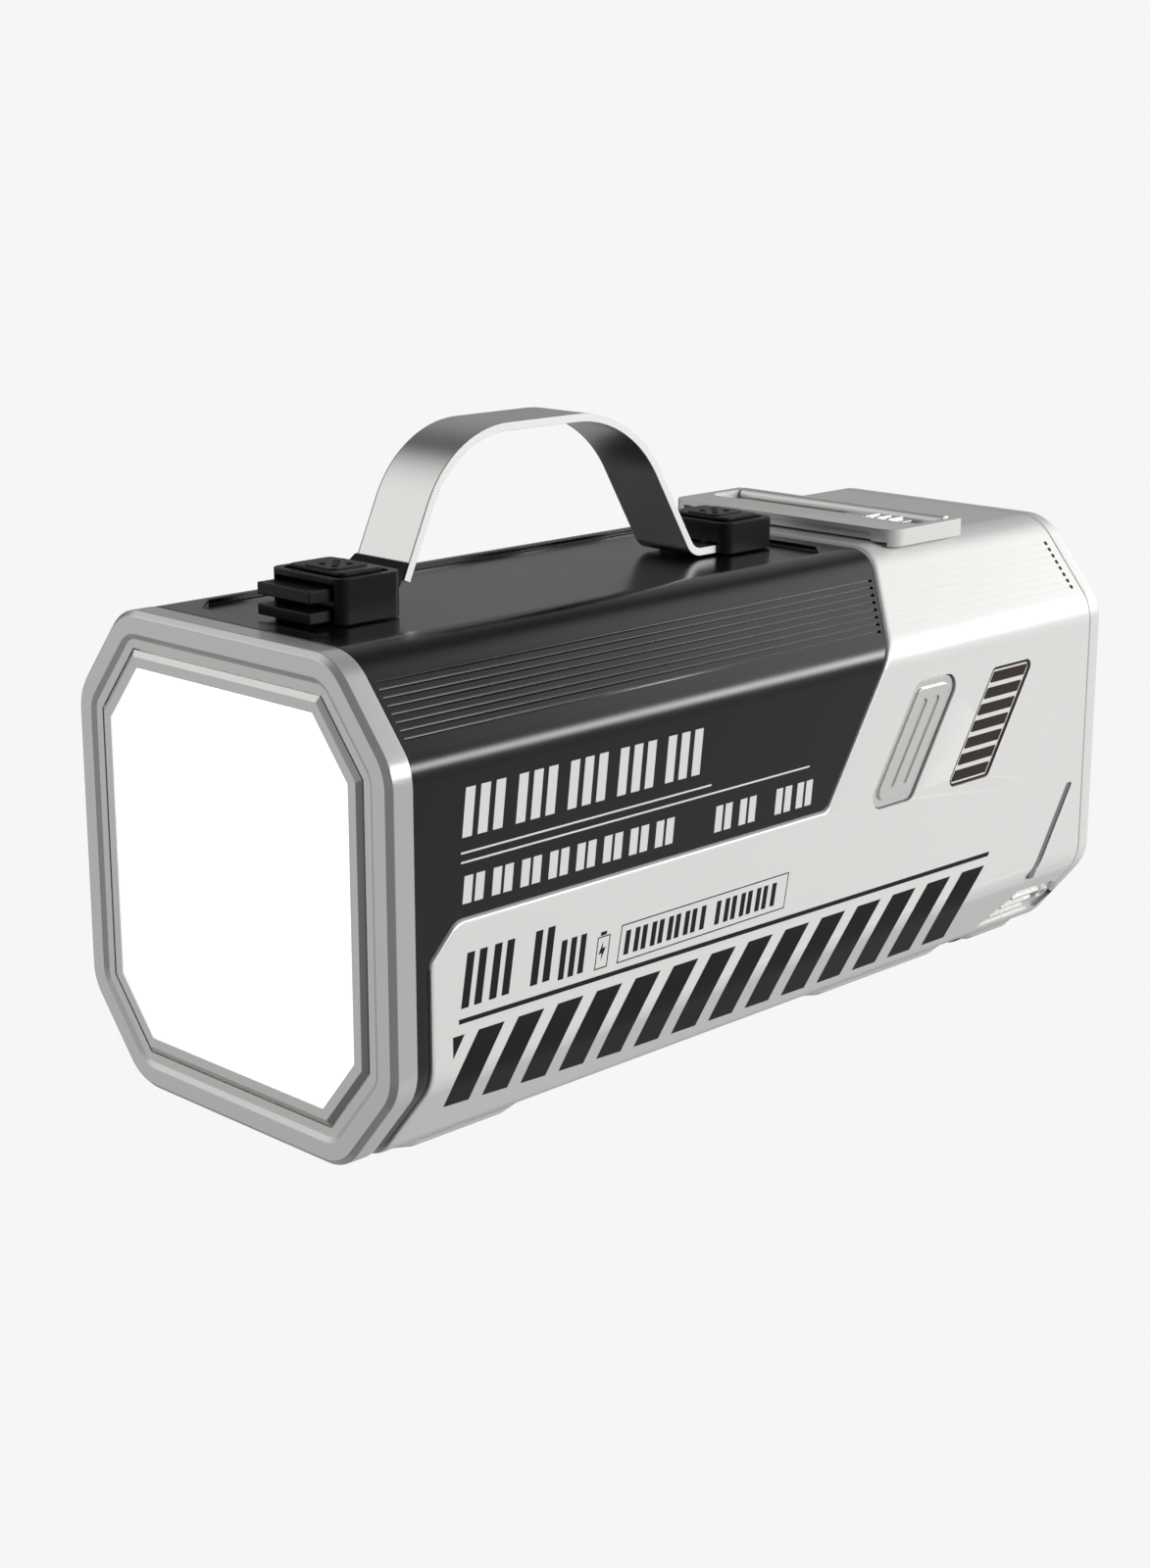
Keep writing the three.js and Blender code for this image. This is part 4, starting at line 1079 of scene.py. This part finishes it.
def flip_lid():
    """Lid with a sunk tray, an open rear edge for the rod and a finger notch under its front rail."""
    low, high = node_mm("flip_lid")
    corners = [(low.x, high.y), (low.x, low.y), (high.x, low.y), (high.x, high.y)]
    lid = prism("flip_lid_fine", "z", fillet(corners, [0, 3.7, 3.7, 0]), low.z, high.z)
    tray = rectangle(-TRAY_HALF, TRAY_HALF, 155.0, high.y + 6, 2.5)
    cut(
        lid,
        box("underside", -28.3, 28.3, low.y - 1, high.y + 1, 40, 45.85),
        prism("tray", "z", tray, TRAY_FLOOR, OUTSIDE),
        box("rear_gap", -TRAY_HALF, TRAY_HALF, 163.9, high.y + 1, 40, OUTSIDE),
        box("notch", -26.5, 24.5, low.y - 1, low.y + NOTCH_DEPTH, 40, high.z - 0.95),
        cylinder("journal", "x", 0.95, -29.5, 29.5, HINGE_Y, HINGE_Z, 24),
    )
    soften(lid, 0.42, 4)
    finished(lid, SILVER, "lid", ["flip_lid"])


def hinge_rod():
    """Rod that fills the lid's rear gap, with thinner ends in the lid's journals."""
    rod = cylinder("hinge_rod_fine", "x", 1.5, -27.6, 27.6, HINGE_Y, HINGE_Z, 40)
    soften(rod, 0.3, 3, 40)
    joined(rod, cylinder("journal", "x", 0.7, -29.2, 29.2, HINGE_Y, HINGE_Z, 24))
    finished(smooth(rod, 40), ROD, replaces=["hinge_rod"])


def lid_latch():
    """Arrow-shaped slide with three grip ridges and a bevelled point."""
    low, high = node_mm("lid_latch")
    middle, half = (low.y + high.y) / 2, (high.y - low.y) / 2 - 0.05
    point, neck, end = low.x + 0.1, low.x + 5.5, high.x - 0.1
    outline = [
        (point, middle), (neck, middle - half), (end, middle - half), (end, middle + half),
        (neck, middle + half),
    ]
    outline = fillet(outline, [0.4, 1.2, 0.8, 0.8, 1.2], 5)
    slide = prism("lid_latch_fine", "z", outline, low.z + 0.02, low.z + 0.62)
    soften(slide, 0.18)
    for x in (neck + 2.0, neck + 5.0, neck + 8.0):
        ridge = box("ridge", x, x + 1.1, middle - half + 0.3, middle + half - 0.3, low.z + 0.3, high.z - 0.05)
        joined(slide, unshaded(soften(ridge, 0.3)))
    finished(smooth(slide), BEZEL, "latch", ["lid_latch"])


flip_lid()
hinge_rod()
lid_latch()


# ---------------------------------------------------------------- key and meter
KEY_CHANNEL = 1.35
KEY_SLOTS = (-1.95, 2.0)


def power_key():
    """Key with a sunk channel around its island and two long grooves across it."""
    face = node_mm("power_key")[1].x - 0.02
    plate = prism("power_key_fine", "x", leaning(**KEY_SHAPE, corner=2.4), face - 1.15, face - 0.5)
    key = unshaded(soften(plate, 0.1, 2))
    outline = leaning(**KEY_SHAPE, inset=KEY_CHANNEL, corner=1.5)
    joined(key, unshaded(soften(prism("island", "x", outline, face - 1.0, face), 0.28)))
    for shift in KEY_SLOTS:
        slot = leaning(KEY_SHAPE["centre_y"] + shift, KEY_SHAPE["centre_z"], 1.75, 16.4, corner=0.66)
        cut(key, prism("slot", "x", slot, face - 0.35, face + 2))
    finished(smooth(key), KEY, "key", ["power_key"])


METER_BARS = 7
METER_RIM = 0.5
METER_GAP = 0.38
BAR_SPACE = 0.95


def meter_bars():
    """Outlines of the bars, stacked along the meter's slant."""
    inset = METER_RIM + METER_GAP
    width = METER_SHAPE["width"] - 2 * inset * math.hypot(1, SLANT)
    pitch = (METER_SHAPE["height"] - 2 * inset + BAR_SPACE) / METER_BARS
    outlines = []
    for k in range(METER_BARS):
        rise = (k - (METER_BARS - 1) / 2) * pitch
        centre = METER_SHAPE["centre_y"] + rise * SLANT, METER_SHAPE["centre_z"] + rise
        outlines.append(leaning(*centre, width, pitch - BAR_SPACE, corner=0.22, steps=3))
    return outlines


def charge_meter():
    """Smoked rim and one smoked bar per step of charge, on a silver plate."""
    face = node_mm("charge_meter")[1].x - 0.08
    outline = leaning(**METER_SHAPE, inset=0.05, corner=1.2)
    plate = prism("charge_meter_fine", "x", outline, face - 1.4, face - 0.12)
    finished(soften(plate, 0.06, 2), SILVER, replaces=["charge_meter"])
    frame_ring = prism("charge_meter_rim", "x", leaning(**METER_SHAPE, corner=1.3), face - 0.4, face - 0.02)
    inner = leaning(**METER_SHAPE, inset=METER_RIM, corner=0.8)
    cut(frame_ring, prism("inside", "x", inner, face - 1, face + 1))
    finished(soften(frame_ring, 0.04, 1), METER)
    bars = prisms("charge_meter_bars", "x", meter_bars(), face - 0.4, face)
    finished(soften(bars, 0.04, 1), METER)


power_key()
charge_meter()


# ---------------------------------------------------------------- printed marks
INK_ROOT = 0.05


def slash(y, z0, z1, width, lean):
    """One leaning bar, from its lower front corner."""
    shift = lean * (z1 - z0)
    return [(y, z0), (y + width, z0), (y + width + shift, z1), (y + shift, z1)]


def slashes(y, length, z0, z1, bars, width, lean):
    """Leaning bars spread evenly over a stretch."""
    step = (length - width) / (bars - 1)
    return [slash(y + k * step, z0, z1, width, lean) for k in range(bars)]


def frame_bars(y0, y1, z0, z1, lean, line):
    """Thin outline of a leaning box as four bars."""
    length = y1 - y0 - 2 * line
    return [
        slash(y0, z0, z1, line, lean),
        slash(y1 - line, z0, z1, line, lean),
        slash(y0 + line, z0, z0 + line, length, lean),
        slash(y0 + line + lean * (z1 - z0 - line), z1 - line, z1, length, lean),
    ]


def printed(name, outlines, side, material):
    """Thin ink on a side face, its root sunk into the face."""
    ink = prisms(name, "x", outlines, side - INK_ROOT, side + INK)
    finished(ink, material)


def sleeve_marks():
    """Pale marks on the black side: a tall row of bars, two rules and a low row."""
    marks = []
    for k in range(5):
        marks += slashes(16.3 + 12.3 * k, 9.2, 13.8, 22.3, 3, 2.2, 0.12)
    marks.append(slash(16.0, 11.0, 11.35, 62.0, 0))
    marks.append(slash(16.0, 9.35, 9.7, 89.8, 0))
    for k in range(8):
        marks += slashes(16.2 + 6.68 * k, 4.7, 2.3, 7.1, 2, 2.0, 0.12)
    for y in (78.9, 85.6, 95.8, 101.9):
        marks += slashes(y, 4.5, 1.9, 6.8, 2, 1.9, 0.12)
    printed("sleeve_marks", marks, SLEEVE_SIDE, PRINT_LIGHT)


BOLT = [(48.1, -14.1), (49.35, -11.9), (49.15, -13.1), (49.95, -13.0), (48.6, -15.3), (48.9, -13.95)]


def shell_marks():
    """Dark marks on the silver side: a row of bars, a battery outline and a boxed row."""
    marks = []
    for y in (15.1, 21.5, 31.2):
        marks += slashes(y, 4.7, -15.8, -6.2, 2, 1.75, 0.17)
    marks += slashes(37.9, 6.2, -16.4, -9.4, 3, 1.4, 0.17)
    marks += frame_bars(47.0, 50.2, -16.8, -10.9, 0.17, 0.22)
    marks += [slash(48.7, -10.75, -10.1, 1.5, 0.17), BOLT]
    marks += frame_bars(52.7, 98.5, -16.9, -10.0, 0.2, 0.22)
    for k in range(9):
        gap = 2.2 if k > 4 else 0
        marks += slashes(54.4 + 4.4 * k + gap, 3.7, -15.7, -11.3, 2, 1.25, 0.2)
    printed("shell_marks", marks, SHELL_SIDE, PRINT_DARK)


STRIPES = range(-1, 14)
STRIPE_LIMITS = [
    (13.2, -20.4), (166.5, -22.2), (166.5, -40.6), (117, -40.1), (65, -38.8), (40, -37.3), (13.2, -35.4),
]
STRIPE_TOP, STRIPE_LEVEL, STRIPE_FOOT = -19, -21.5, -43
STRIPE_STEPS = 33
RULE = [(14.6, -18.45), (163.8, -20.4), (164.3, -19.5), (14.6, -17.6)]


def stripe(number):
    """Outline that keeps its lean on the side and swings rearwards where the section turns in below.

    Spacing, width, lean and swing all grow a little from stripe to stripe.
    """
    middle = 21.45 + 9.4 * number + 0.094 * number ** 2
    half = (6.1 + 0.123 * number) / 2
    lean = 0.72 + 0.024 * number
    swing = (1.076 + 0.0385 * number) * CHAMFER_NORMAL[0] / CHAMFER_NORMAL[1]
    corner = sorted((z, x) for x, z in section(0, SHELL_HALF_HEIGHT) if x > 0 and z < 0)
    path = []
    for z in np.linspace(STRIPE_TOP, STRIPE_FOOT, STRIPE_STEPS):
        turned_in = SHELL_SIDE - np.interp(z, *zip(*corner))
        path.append((middle + (z - STRIPE_LEVEL) * lean + turned_in * swing, z))
    return [(y - half, z) for y, z in path] + [(y + half, z) for y, z in reversed(path)]


def hazard_band():
    """Leaning stripes that run over the corner onto the lower chamfer, under one long rule."""
    band = prisms("hazard_stripes", "x", [stripe(k) for k in STRIPES], 30, OUTSIDE)
    skin = section_tube("skin", 10, 170, -INK, INK_ROOT, SHELL_HALF_HEIGHT)
    common(band, prism("limits", "x", STRIPE_LIMITS, 20, OUTSIDE), skin)
    finished(band, PRINT_DARK)
    printed("hazard_rule", [RULE], SHELL_SIDE, PRINT_DARK)


sleeve_marks()
shell_marks()
hazard_band()
shell_lines(1, "near")
shell_lines(-1, "far")


# ---------------------------------------------------------------- carried-over nodes
CARRIED = {
    "light_reflector": WHITE, "led_board": BOARD, "led_heat_spreader": NICKEL, "front_gasket": RUBBER,
    "rear_frame": WHITE, "strap_pin": NICKEL, "port_frame": PLASTIC, "usb_a_socket_1": NICKEL,
    "usb_a_socket_2": NICKEL, "usb_c_socket": NICKEL, "port_board": BOARD, "key_switch": BOARD,
    "main_board": BOARD, "busbar_front": NICKEL, "busbar_middle": NICKEL, "busbar_rear": NICKEL,
}
CARRIED.update({f"battery_cell_{k}": WRAP for k in range(1, 11)})
CARRIED.update({f"cell_holder_{k}": WHITE for k in range(1, 5)})

for name, material in CARRIED.items():
    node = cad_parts[name]
    node.data.materials.clear()
    node.data.materials.append(material)
